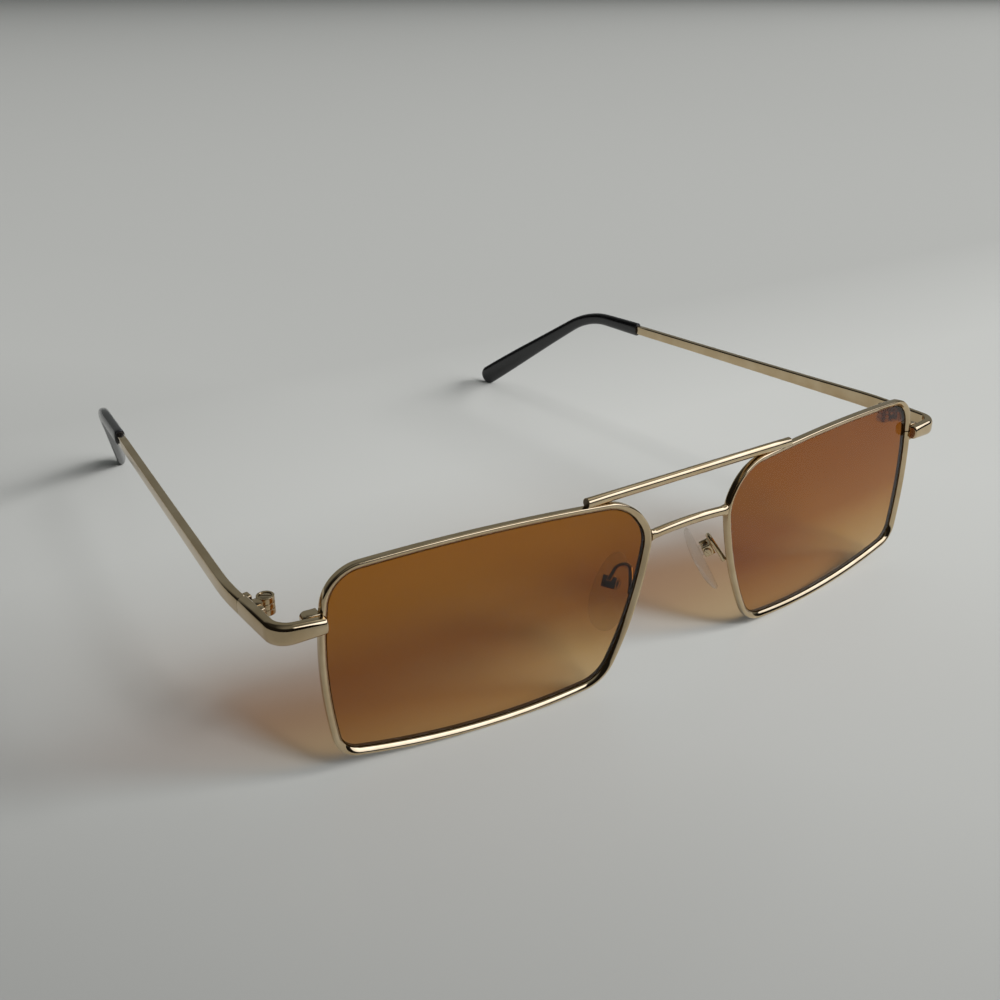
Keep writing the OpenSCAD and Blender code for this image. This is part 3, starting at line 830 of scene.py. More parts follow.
@dataclass(frozen=True)
class LensOutline:
    """Lens opening: five round corners joined by edges that bow outward."""

    corners: tuple[Pair, ...] = ((64.1, 1.7), (64.1, 31.3), (14.3, 30.9), (9.7, 25.2), (18.0, 0.0))
    radii: tuple[float, ...] = (3.7, 5.6, 8.4, 5.9, 6.2)
    bows: tuple[float, ...] = (1.2, 0.7, 0.1, 1.1, 1.9)
    corner_steps: int = 16
    edge_steps: int = 24
    above_cut_steps: int = 8
    below_cut_steps: int = 20
    halvings: int = 40

    def _edge(self, i: int) -> Vector:
        """Straight edge that leaves corner i."""
        return Vector(self.corners[self._next(i)]) - Vector(self.corners[i])

    def _next(self, i: int) -> int:
        """Number of the corner after corner i."""
        return (i + 1) % len(self.corners)

    def _edge_angle(self, i: int) -> float:
        """Angle of the edge that leaves corner i."""
        edge = self._edge(i)
        return math.degrees(math.atan2(edge.y, edge.x))

    def _bow_angle(self, i: int) -> float:
        """Turn of a bowed edge at each of its ends."""
        return math.degrees(4 * self.bows[i] / self._edge(i).length)

    def _arc(self, i: int) -> tuple[Vector, float, float]:
        """Centre, first direction and turn of corner i.

        Args:
            i: Number of the corner.

        Returns:
            The three, with directions in degrees.
        """
        before = (i - 1) % len(self.corners)
        first = self._edge_angle(before) + self._bow_angle(before)
        turn = (self._edge_angle(i) - self._bow_angle(i) - first) % 360
        run = self.radii[i] * math.tan(math.radians(turn / 2))
        start = Vector(self.corners[i]) - run * angle_vector(first)
        return start + self.radii[i] * angle_vector(first + 90), first, turn

    def _corner_point(self, i: int, share: float) -> OutlinePoint:
        """Point a share of the way round corner i.

        Args:
            i: Number of the corner.
            share: Share of the way round it.

        Returns:
            The point.
        """
        centre, first, turn = self._arc(i)
        out = angle_vector(first + turn * share - 90)
        return OutlinePoint(*(centre + self.radii[i] * out), *out)

    def edge_point(self, i: int, share: float) -> OutlinePoint:
        """Point a share of the way along the edge that leaves corner i.

        Args:
            i: Number of the edge.
            share: Share of the way along it.

        Returns:
            The point.
        """
        j = self._next(i)
        a, b = self._corner_point(i, 1.0), self._corner_point(j, 0.0)
        start, end = Vector((a.s, a.t)), Vector((b.s, b.t))
        _, first, turn = self._arc(i)
        leave, arrive = first + turn, self._arc(j)[1]
        if arrive < leave - 180:
            arrive += 360
        handle = (end - start).length / 3
        p = (start, start + handle * angle_vector(leave), end - handle * angle_vector(arrive), end)
        u, v = share, 1 - share
        spot = v ** 3 * p[0] + 3 * v * v * u * p[1] + 3 * v * u * u * p[2] + u ** 3 * p[3]
        return OutlinePoint(*spot, *angle_vector(mix(leave, arrive, share) - 90))

    def loop(self) -> list[OutlinePoint]:
        """The whole opening, counter-clockwise from the lower outer corner.

        Returns:
            Its points.
        """
        points = []
        for i in range(len(self.corners)):
            points += [self._corner_point(i, u) for u in shares(self.corner_steps)]
            points += [self.edge_point(i, u) for u in shares(self.edge_steps)[1:-1]]
        return points

    def side_at(self, i: int, height: float) -> float:
        """Share along an upright edge where it reaches a height.

        Args:
            i: Number of the edge.
            height: Height that it reaches.

        Returns:
            The share.
        """
        low, high = 0.0, 1.0
        rising = self.edge_point(i, 1.0).t > self.edge_point(i, 0.0).t
        for _ in range(self.halvings):
            middle = (low + high) / 2
            if (self.edge_point(i, middle).t < height) == rising:
                low = middle
            else:
                high = middle
        return (low + high) / 2

    def loop_from(self, height: float, gap: float) -> list[OutlinePoint]:
        """The opening from a cut in its outer side all the way round to the cut's other face.

        Args:
            height: Height of the cut's middle.
            gap: Width of the cut.

        Returns:
            Points from the cut's upper face to its lower one.
        """
        side = Edge.OUTER
        upper, lower = (self.side_at(side, height + way * gap / 2) for way in (1, -1))
        rest = self.loop()[self.corner_steps + self.edge_steps:]
        first = [self.edge_point(side, mix(upper, 1.0, u))
                 for u in shares(self.above_cut_steps)[:-1]]
        corner = [self._corner_point(side, u) for u in shares(self.corner_steps)[:-1]]
        up = [self.edge_point(side, lower * u) for u in shares(self.below_cut_steps)]
        return first + rest + corner + up


@dataclass(frozen=True)
class LensPlane:
    """Plane of the left lens: s outward, n back from the rim's front, t up."""

    outline: LensOutline = LensOutline()
    wrap: float = 5.9
    lean: float = 1.1
    rim_width: float = 1.15
    rim_depth: float = 1.6

    def _free(self, s: float, n: float, t: float) -> Vector:
        """Place before the pair is lifted and centred.

        Args:
            s: Distance outward.
            n: Depth behind the rim's front.
            t: Height.

        Returns:
            The place.
        """
        lean, wrap = math.radians(self.lean), math.radians(self.wrap)
        b = n * math.cos(lean) + t * math.sin(lean)
        return Vector((s * math.cos(wrap) - b * math.sin(wrap),
                       s * math.sin(wrap) + b * math.cos(wrap),
                       t * math.cos(lean) - n * math.sin(lean)))

    def rest(self) -> Vector:
        """Shift that stands the rims on the table where the CAD eyewire stands.

        Returns:
            The shift.
        """
        points = [self._free(p.grown(self.rim_width)[0], n, p.grown(self.rim_width)[1])
                  for p in self.outline.loop() for n in (0.0, self.rim_depth)]
        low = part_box("eyewire_left")[0] / MM
        return Vector((0, low.y - min(p.y for p in points), low.z - min(p.z for p in points)))

    def placer(self) -> Callable[[float, float, float], Vector]:
        """Function that places a point of the plane."""
        shift = self.rest()
        return lambda s, n, t: self._free(s, n, t) + shift


PLANE = LensPlane()
on_front = PLANE.placer()


# Rims and lenses


@dataclass
class Rim:
    """One eyewire with its lens: a flat wire whose front falls away gently to the lens."""

    side: Side
    front_radius: float = 0.36
    back_radius: float = 0.46
    inner_radius: float = 0.12
    front_slopes: Pair = (26.0, 50.0)
    groove: Pair = (0.80, 1.18)
    groove_height: float = 0.4
    cut_height: float = 24.7
    cut_gap: float = 0.2
    lens_front: float = 0.68
    lens_back: float = 1.40
    lens_gap: float = 0.04
    lens_edge: float = 0.12
    lens_ease: float = 0.3
    bend_steps: int = 8
    crown_steps: int = 6
    ledge_steps: int = 4
    lens_crease: float = 20.0

    def wire_section(self) -> list[Pair]:
        """Section of the eyewire as outward growth and depth, with the lens groove inside.

        Returns:
            The section's points.
        """
        w, d = PLANE.rim_width, PLANE.rim_depth
        f, r, q = self.front_radius, self.back_radius, self.inner_radius
        low, high = (math.radians(a) for a in self.front_slopes)
        bends = [mix(-math.pi / 2, low, u) for u in shares(self.bend_steps)]
        front = [(w - f - f * math.sin(a), f - f * math.cos(a)) for a in bends]
        start = front[-1]
        crown = (start[0] - q * (1 - math.sin(high))) / (math.sin(high) - math.sin(low))
        front += [(start[0] - crown * (math.sin(a) - math.sin(low)),
                   start[1] + crown * (math.cos(low) - math.cos(a)))
                  for a in (mix(low, high, u) for u in shares(self.crown_steps)[1:])]
        ledge = front[-1][1] + q * math.cos(high)
        front += [(q - q * math.sin(a), ledge - q * math.cos(a))
                  for a in (mix(high, math.pi / 2, u) for u in shares(self.ledge_steps)[1:])]
        g0, g1 = self.groove
        groove = [(0.0, g0), (self.groove_height, g0), (self.groove_height, g1), (0.0, g1)]
        arc = [angle_vector(90 * u) for u in shares(self.bend_steps)]
        back_inner = [(q - q * a.x, d - q + q * a.y) for a in arc]
        back_outer = [(w - r + r * a.x, d - r + r * a.y) for a in reversed(arc)]
        return list(reversed(front + groove + back_inner + back_outer))

    def eyewire(self) -> Solid:
        """The wire carried round the lens from one face of its cut to the other.

        Returns:
            The wire.
        """
        section = self.wire_section()
        rings = []
        for point in PLANE.outline.loop_from(self.cut_height, self.cut_gap):
            spots = [(point.grown(g), n) for g, n in section]
            rings.append([on_front(s, n, t) for (s, t), n in spots])
        return Solid.loft(rings)

    def lens(self) -> Solid:
        """Flat lens with eased edges and the ridge that sits in the groove.

        Returns:
            The lens, with its edge marked.
        """
        front, back = self.lens_front, self.lens_back
        g0, g1 = self.groove[0] + self.lens_gap, self.groove[1] - self.lens_gap
        out, ridge, e = -self.lens_gap, self.groove_height - self.lens_gap, self.lens_edge
        c = e * self.lens_ease
        profile = [(out - e, front), (out - c, front + c), (out, front + e), (out, g0), (ridge, g0),
                   (ridge, g1), (out, g1), (out, back - e), (out - c, back - c), (out - e, back)]
        loop = PLANE.outline.loop()
        rings = []
        for g, n in profile:
            rings.append([on_front(s, n, t) for s, t in (p.grown(g) for p in loop)])
        # The marked edge faces get the lens edge finish, painted dark as shade.
        return Solid.loft(rings).marked(lambda face: len(face.verts) < len(loop))

    def build(self) -> list[bpy.types.Object]:
        """Makes and dresses the eyewire and the lens.

        Returns:
            The pieces.
        """
        word = self.side.word
        return [
            self.eyewire().piece(f"rim_wire_{word}", self.side, GOLD, Body.FRONT,
                                 f"eyewire_{word}"),
            self.lens().piece(f"amber_lens_{word}", self.side, AMBER, Body.FRONT,
                              f"lens_{word}", self.lens_crease, SHADED_LENS_EDGE),
        ]


# Bars between the rims


@dataclass
class BrowBar:
    """Straight round wire soldered on top of both rims, cut square at its ends, which are painted
    dark as shade.
    """

    diameter: float = 1.7
    length: float = 46.0
    shift: float = 1.6
    edge: float = 0.1
    sides: int = 40
    steps: int = 12

    def build(self) -> list[bpy.types.Object]:
        """Makes and dresses the bar.

        Returns:
            The piece.
        """
        low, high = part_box("brow_bar")
        y, z = (low.y + high.y) / 2 / MM, high.z / MM - self.diameter / 2
        across, up = Vector((0, 1, 0)), Vector((0, 0, 1))
        ends = [self.shift - self.length / 2, self.shift + self.length / 2]
        places = [mix(*ends, u) for u in shares(self.steps)]
        stations = [Station(Vector((x, y, z)), Vector((1, 0, 0)), across, up) for x in places]
        bar = Solid.sweep(stations, lambda u, inset: circle(self.diameter / 2 - inset, self.sides),
                          (self.edge, self.edge))
        # The cut end faces get the finish painted dark as shade.
        bar.marked(lambda face: len(face.verts) == self.sides)
        return [bar.piece("brow_wire", Side.LEFT, GOLD, Body.FRONT, "brow_bar", second=PAINTED_DARK_END)]


@dataclass
class Bridge:
    """Lower bridge: a slightly arched wire with a small collar of solder at each rim."""

    diameter: float = 1.7
    arch: float = 0.5
    fall: float = 0.9
    top_to_corner: float = 25.2
    collar: float = 0.3
    collar_run: float = 0.55
    rim_share: float = 0.9
    edge: float = 0.05
    sides: int = 40
    steps: int = 48

    def build(self) -> list[bpy.types.Object]:
        """Makes and dresses the bridge.

        Returns:
            The piece.
        """
        half = PLANE.outline.corners[Edge.NOSE][0]
        root = on_front(half, PLANE.rim_depth / 2, self.top_to_corner - self.fall)
        radius = (half * half + self.arch * self.arch) / (2 * self.arch)
        centre = Vector((0, root.y, root.z + self.arch - radius))
        reach = math.degrees(math.asin((half - PLANE.rim_width * self.rim_share) / radius))
        stations = []
        for u in shares(self.steps):
            way = angle_vector(90 - mix(-reach, reach, u))
            out = Vector((way.x, 0, way.y))
            ahead = Vector((way.y, 0, -way.x))
            stations.append(Station(centre + radius * out, ahead, Vector((0, 1, 0)), out))

        def section(share: float, inset: float) -> list[Pair]:
            """Round section that flares into the solder at both ends.

            Args:
                share: Share of the way along the piece.
                inset: Inset from the full size.

            Returns:
                The section's points.
            """
            run = min(share, 1 - share) * 2 * math.radians(reach) * radius
            flare = self.collar * math.exp(-((run / self.collar_run) ** 2))
            return [(x * (self.diameter / 2 - inset), y * (self.diameter / 2 + flare - inset))
                    for x, y in circle(1.0, self.sides)]

        wire = Solid.sweep(stations, section, (self.edge, self.edge))
        return [wire.piece("bridge_wire", Side.LEFT, GOLD, Body.FRONT, "bridge")]


# End pieces and closing blocks


@dataclass
class EndPiece:
    """Polished strip bent from the rim round to the temple, with the rim's closing block."""

    side: Side
    height: float = 2.6
    joint_height: float = 3.4
    thickness: float = 1.7
    level: float = 24.7
    lap: float = 0.4
    run: float = 4.9
    bend_radius: float = 3.0
    back: float = 8.1
    flare: float = 3.0
    seat: float = 0.02
    crown: Pair = (0.8, 1.1)
    inner_radius: float = 0.3
    edge_share: float = 0.6
    end_radius: float = 0.35
    butt_edge: float = 0.06
    bend_steps: int = 24
    end_steps: int = 6
    block_run: float = 2.4
    block_depth: float = 2.1
    block_up: float = 1.4
    block_down: float = 1.9
    block_gap: float = 0.2
    block_edge: float = 0.16
    block_least: float = 35.0
    block_corner: float = 0.9
    wall_steps: int = 6
    corner_steps: int = 8

    def outer_side(self) -> float:
        """s of the lens opening's outer side at the strip's level."""
        outline = PLANE.outline
        return outline.edge_point(Edge.OUTER, outline.side_at(Edge.OUTER, self.level)).s

    def start(self) -> Vector:
        """Middle of the strip's end on the rim's front."""
        s = self.outer_side() + self.lap
        return on_front(s, -self.thickness / 2 - 2 * self.seat, self.level)

    def joint(self) -> tuple[Vector, float]:
        """Point where the temple butts on, and the strip's heading there in degrees."""
        return self.stations()[-1].point, 90 - self.flare

    def stations(self) -> list[Station]:
        """Places along the strip from the rim to the temple.

        Returns:
            The places.
        """
        start = self.start()
        level = on_front(self.outer_side() + self.lap, 0.0, self.level).z
        first = angle_vector(PLANE.wrap)
        begin = Vector((start.x, start.y))
        bend_start = begin + self.run * first
        centre = bend_start + self.bend_radius * angle_vector(PLANE.wrap + 90)
        turn = 90 - PLANE.wrap - self.flare
        flat = [(begin, PLANE.wrap), (begin + 0.5 * self.run * first, PLANE.wrap)]
        for u in shares(self.bend_steps):
            a = PLANE.wrap + turn * u
            flat.append((centre + self.bend_radius * angle_vector(a - 90), a))
        last, heading = flat[-1]
        flat += [(last + self.back * u * angle_vector(heading), heading) for u in shares(2)[1:]]
        made = []
        for spot, heading in flat:
            ahead, out = angle_vector(heading), angle_vector(heading - 90)
            made.append(Station(Vector((spot.x, spot.y, level)), Vector((ahead.x, ahead.y, 0)),
                                Vector((out.x, out.y, 0)), Vector((0, 0, 1))))
        return made

    def strip(self) -> Solid:
        """The bent strip with a crowned outer side, taller towards the temple.

        Returns:
            The strip.
        """
        stations = self.stations()
        bend = math.radians(90 - PLANE.wrap - self.flare) * self.bend_radius
        runs = [0.0, self.run / 2] + [self.run + bend * u for u in shares(self.bend_steps)]
        last = len(stations) - 1

        def section(share: float, inset: float) -> list[Pair]:
            """Section of the strip; it reaches its full height halfway round the bend.

            Args:
                share: Share of the way along the piece.
                inset: Inset from the full size.

            Returns:
                The section's points.
            """
            run = runs[min(round(share * last), len(runs) - 1)]
            height = mix(self.height, self.joint_height, min(1.0, run / (self.run + bend / 2)))
            less = inset * self.edge_share
            rx, ry = (r - less for r in self.crown)
            return crowned(self.thickness - 2 * inset, height - 2 * inset, (rx, ry),
                           self.inner_radius - less)

        return Solid.sweep(stations, section, (self.end_radius, self.butt_edge), self.end_steps)

    def block(self, low: float, high: float) -> Solid:
        """Half of the closing block, fitted to the rim's outer wall.

        Args:
            low: Height of its bottom.
            high: Height of its top.

        Returns:
            The half.
        """
        outline = PLANE.outline
        s_end = self.outer_side() + PLANE.rim_width + self.block_run
        wall = []
        for height in (mix(low, high, u) for u in shares(self.wall_steps)):
            point = outline.edge_point(Edge.OUTER, outline.side_at(Edge.OUTER, height))
            wall.append((point.grown(PLANE.rim_width + self.seat)[0], height))
        r = self.block_corner
        turn = [r * angle_vector(90 * u) for u in shares(self.corner_steps)]
        if high > self.level:
            shape = [(s_end, low)] + [(s_end - r + d.x, high - r + d.y) for d in turn]
        else:
            shape = [(s_end - r + d.x, low + r - d.y) for d in reversed(turn)] + [(s_end, high)]
        shape += reversed(wall)
        solid = Solid.prism(shape, 0.0, self.block_depth)
        solid.rounded(self.block_edge, least=self.block_least)
        return solid.bent(lambda p: on_front(p.x, p.z, p.y))

    def build(self) -> list[bpy.types.Object]:
        """Makes and dresses the strip and both halves of the block.

        Returns:
            The pieces.
        """
        word, gap = self.side.word, self.block_gap / 2
        upper = self.block(self.level + gap, self.level + gap + self.block_up)
        lower = self.block(self.level - gap - self.block_down, self.level - gap)
        return [
            self.strip().piece(f"end_strip_{word}", self.side, GOLD, Body.FRONT,
                               f"end_piece_{word}"),
            upper.piece(f"closing_upper_{word}", self.side, GOLD, Body.FRONT,
                        f"closing_block_upper_{word}"),
            lower.piece(f"closing_lower_{word}", self.side, GOLD, Body.FRONT,
                        f"closing_block_lower_{word}"),
        ]


# Hinges


@dataclass(frozen=True)
class SlottedScrew:
    """Small screw with a softly domed head and a driver slot."""

    shank: float
    head: float
    head_height: float
    length: float
    slot_width: float = 0.25
    slot_depth: float = 0.18
    slot_space: float = 0.5
    dome: float = 0.1
    dome_share: float = 0.97
    dome_steps: int = 6
    edge: float = 0.06
    pole: float = 0.02

    def solid(self, slot_turn: float = 0.0) -> Solid:
        """The screw standing on its shank's end with the head on top.

        Args:
            slot_turn: Turn of the slot about the screw's axis, in degrees.

        Returns:
            The screw along +Z from 0 to its length.
        """
        top, low, e = self.length, self.length - self.head_height, self.edge
        profile = [(self.shank - e, 0.0), (self.shank, e), (self.shank, low), (self.head - e, low),
                   (self.head, low + e), (self.head, top - self.dome - e)]
        wide = self.head * self.dome_share
        profile += [(wide * math.cos(a), top - self.dome + self.dome * math.sin(a))
                    for a in (math.pi / 2 * u for u in shares(self.dome_steps)[:-1])]
        profile.append((self.pole, top))
        screw = Solid.lathe(profile)
        reach = self.head + self.slot_space
        slot = Solid.box((-reach, -self.slot_width / 2, top - self.slot_depth),
                         (reach, self.slot_width / 2, top + self.slot_space))
        return screw.without(slot.moved(Matrix.Rotation(math.radians(slot_turn), 4, "Z")))


@dataclass
class Hinge:
    """Three-knuckle hinge soldered inside the end piece and the temple."""

    side: Side
    strip: EndPiece
    knuckle: float = 1.35
    barrel: float = 2.9
    pin: float = 0.55
    pin_gap: float = 0.04
    gap: float = 0.06
    leaf_length: float = 1.6
    leaf_thickness: float = 1.05
    leaf_drop: float = 0.5
    leaf_edge: float = 0.28
    leaf_steps: int = 4
    web_gap: float = 0.15
    web_inset: float = 0.02
    web_sink: float = 0.1
    web_start: float = 0.1
    web_lap: float = 0.3
    web_edge: float = 0.08
    web_steps: int = 2
    axis_back: float = 0.9
    head_low: float = 2.5
    head_height: float = 0.35
    head: float = 0.95
    seat: float = 0.02
    edge: float = 0.05
    edge_steps: int = 4
    chamfer: float = 0.06
    clear: float = 0.1
    slot_turn: float = 35.0

    def frame(self) -> Matrix:
        """Frame on the hinge axis: x outward to the strip, y along it, z up from the barrel.

        Returns:
            The frame's matrix, in millimetres.
        """
        x, y, _ = joint_place("temple_left_fold")
        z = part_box("hinge_front_leaf_left")[0].z / MM
        turn = Matrix.Rotation(math.radians(-self.strip.flare), 4, "Z")
        return Matrix.Translation((x, y, z)) @ turn

    def knuckle_height(self) -> float:
        """Height of one of the three knuckles."""
        return (self.barrel - 2 * self.gap) / 3

    def inset(self) -> float:
        """Distance from the hinge axis to the strip's inner face."""
        return self.leaf_thickness + self.knuckle

    def ring(self, k: Knuckle) -> Solid:
        """One knuckle, bored for the screw; the top one is sunk for its head.

        Args:
            k: Which knuckle.

        Returns:
            The knuckle.
        """
        low = k * (self.knuckle_height() + self.gap)
        high = low + self.knuckle_height()
        bore = self.pin + (self.pin_gap if k is Knuckle.MIDDLE else self.pin_gap / 2)
        r, e, c = self.knuckle, self.edge, self.chamfer
        bends = [math.pi / 2 * u for u in shares(self.edge_steps)]
        outer = [(r - e + e * math.sin(a), low + e - e * math.cos(a)) for a in bends]
        outer += [(r - e + e * math.cos(a), high - e + e * math.sin(a)) for a in bends]
        wall = [(bore, high), (bore, low)]
        if k is Knuckle.TOP:
            sunk, floor = self.head + self.seat, self.head_low - self.seat
            wall = [(sunk + c, high), (sunk, high - c), (sunk, floor), (bore, floor), (bore, low)]
        return Solid.lathe(outer + wall, hollow=True)

    def web(self, k: Knuckle, y0: float, y1: float) -> Solid:
        """Tongue from a knuckle to its leaf.

        Args:
            k: Which knuckle.
            y0: Where it starts along the strip.
            y1: Where it ends.

        Returns:
            The tongue.
        """
        low = k * (self.knuckle_height() + self.gap)
        inner = self.head if k is Knuckle.TOP else self.pin + self.pin_gap
        block = Solid.box((inner + self.web_gap, y0, low + self.web_inset),
                          (self.inset() - self.seat - self.web_sink, y1,
                           low + self.knuckle_height() - self.web_inset))
        return block.rounded(self.web_edge, self.web_steps)

    def plate(self, y0: float) -> Solid:
        """Leaf on the strip's inner face, with round edges.

        Args:
            y0: Where it starts along the strip.

        Returns:
            The leaf.
        """
        level = on_front(self.strip.outer_side() + self.strip.lap, 0.0, self.strip.level).z
        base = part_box("hinge_front_leaf_left")[0].z / MM
        low = level - self.strip.height / 2 + self.leaf_drop / 2 - base
        x1 = self.inset() - self.seat
        block = Solid.box((x1 - self.leaf_thickness, y0, low),
                          (x1, y0 + self.leaf_length, low + self.strip.height - self.leaf_drop))
        return block.rounded(self.leaf_edge, self.leaf_steps)

    def front_leaf(self) -> Solid:
        """Leaf with the two outer knuckles.

        Returns:
            The leaf in its place.
        """
        start = -self.knuckle - self.clear
        leaf = self.plate(start - self.leaf_length)
        for k in (Knuckle.BOTTOM, Knuckle.TOP):
            leaf.joined(self.web(k, start - self.web_lap, -self.web_start)).joined(self.ring(k))
        return leaf.moved(self.frame())

    def temple_leaf(self) -> Solid:
        """Leaf with the middle knuckle.

        Returns:
            The leaf in its place.
        """
        start = self.knuckle + self.clear
        leaf, k = self.plate(start), Knuckle.MIDDLE
        leaf.joined(self.web(k, self.axis_back + self.gap, start + self.web_lap))
        return leaf.joined(self.ring(k)).moved(self.frame())

    def screw(self) -> Solid:
        """Hinge screw, its head sunk in the top knuckle."""
        made = SlottedScrew(self.pin, self.head, self.head_height, self.head_low + self.head_height)
        return made.solid(self.slot_turn).moved(self.frame())

    def build(self) -> list[bpy.types.Object]:
        """Makes and dresses both leaves and the screw.

        Returns:
            The pieces.
        """
        word = self.side.word
        return [
            self.front_leaf().piece(f"front_leaf_{word}", self.side, GOLD, Body.FRONT,
                                    f"hinge_front_leaf_{word}"),
            self.temple_leaf().piece(f"temple_leaf_{word}", self.side, GOLD, Body.TEMPLE,
                                     f"hinge_temple_leaf_{word}"),
            self.screw().piece(f"hinge_pin_{word}", self.side, SCREW_GOLD, Body.FRONT,
                               f"hinge_screw_{word}"),
        ]


@dataclass
class ClosingScrew:
    """Screw that closes the eyewire from below its block."""

    side: Side
    strip: EndPiece
    shank: float = 0.45
    head: float = 0.8
    head_height: float = 0.45
    inward: float = 1.15
    cover: float = 0.35
    tip_space: float = 0.1

    def build(self) -> list[bpy.types.Object]:
        """Makes and dresses the screw.

        Returns:
            The piece.
        """
        s = self.strip.outer_side() + PLANE.rim_width + self.strip.block_run - self.inward
        n = self.strip.block_depth / 2
        low = self.strip.level - self.strip.block_gap / 2 - self.strip.block_down
        length = (self.strip.block_down + self.strip.block_gap + self.strip.block_up - self.cover
                  - self.tip_space)
        screw = SlottedScrew(self.shank, self.head, self.head_height, length).solid()
        screw = screw.bent(lambda p: on_front(s + p.x, n - p.y, low + length - p.z))
        word = self.side.word
        return [screw.piece(f"closing_pin_{word}", self.side, SCREW_GOLD, Body.FRONT,
                            f"closing_screw_{word}")]


# Temples


@dataclass(frozen=True)
class Stretch:
    """Part of the temple's line: its length and how far it turns inward and downward."""

    length: float
    inward: float
    downward: float


@dataclass
class TempleLine:
    """Middle line of the temple from the butt joint to the end of its tip."""

    strip: EndPiece
    length: float = 139.5
    ear_length: float = 13.5
    ear_tail: float = 38.5
    joint_run: float = 1.0
    joint_turn: float = 8.0
    toe_in: float = 4.6
    fall: float = 0.2
    ear_turn: float = 13.0
    ear_drop: float = 34.2
    tail_drop: float = 1.0
    gap: float = 0.06
    thickness: float = 1.5
    height: float = 3.2
    points: list[Vector] = field(default_factory=list)

    def __post_init__(self) -> None:
        """Walks the line in steps of a millimetre."""
        start, heading = self.strip.joint()
        out, ahead = angle_vector(heading - 90), angle_vector(heading)
        flat = (self.strip.thickness - self.thickness) / 2 * out + self.gap * ahead
        rise = (self.strip.joint_height - self.height) / 2
        spot = start + Vector((flat.x, flat.y, rise))
        self.points.append(spot)
        for k in range(int(self.length) + 1):
            spot = spot + self.ahead(k + 0.5)
            self.points.append(spot)

    def stretches(self) -> list[Stretch]:
        """The line's parts from the joint to the end.

        Returns:
            The parts.
        """
        plain = self.length - self.joint_run - self.joint_turn - self.ear_length - self.ear_tail
        return [Stretch(self.joint_run, 0, 0),
                Stretch(self.joint_turn, self.toe_in + self.strip.flare, self.fall),
                Stretch(plain, 0, 0), Stretch(self.ear_length, self.ear_turn, self.ear_drop),
                Stretch(self.ear_tail, 0, self.tail_drop)]

    def turned(self, at: float) -> Pair:
        """Inward and downward turn up to a distance.

        Args:
            at: Distance along the line.

        Returns:
            Both turns, in degrees.
        """
        inward = downward = 0.0
        parts = self.stretches()
        for k, part in enumerate(parts):
            share = at / part.length if at < part.length or k == len(parts) - 1 else 1.0
            inward += part.inward * share
            downward += part.downward * share
            if at <= part.length:
                break
            at -= part.length
        return inward, downward

    def angles(self, at: float) -> Pair:
        """Heading and pitch at a distance, in radians."""
        inward, downward = self.turned(at)
        return math.radians(90 - self.strip.flare + inward), -math.radians(downward)

    def ahead(self, at: float) -> Vector:
        """Unit vector along the line."""
        h, p = self.angles(at)
        return Vector((math.cos(h) * math.cos(p), math.sin(h) * math.cos(p), math.sin(p)))

    def station(self, at: float) -> Station:
        """Place on the line with the outward and upward directions across it.

        Args:
            at: Distance along the line.

        Returns:
            The place.
        """
        h, p = self.angles(at)
        i = min(int(at), len(self.points) - 2)
        spot = self.points[i].lerp(self.points[i + 1], at - i)
        up = Vector((-math.cos(h) * math.sin(p), -math.sin(h) * math.sin(p), math.cos(p)))
        return Station(spot, self.ahead(at), Vector((math.sin(h), -math.cos(h), 0)), up)


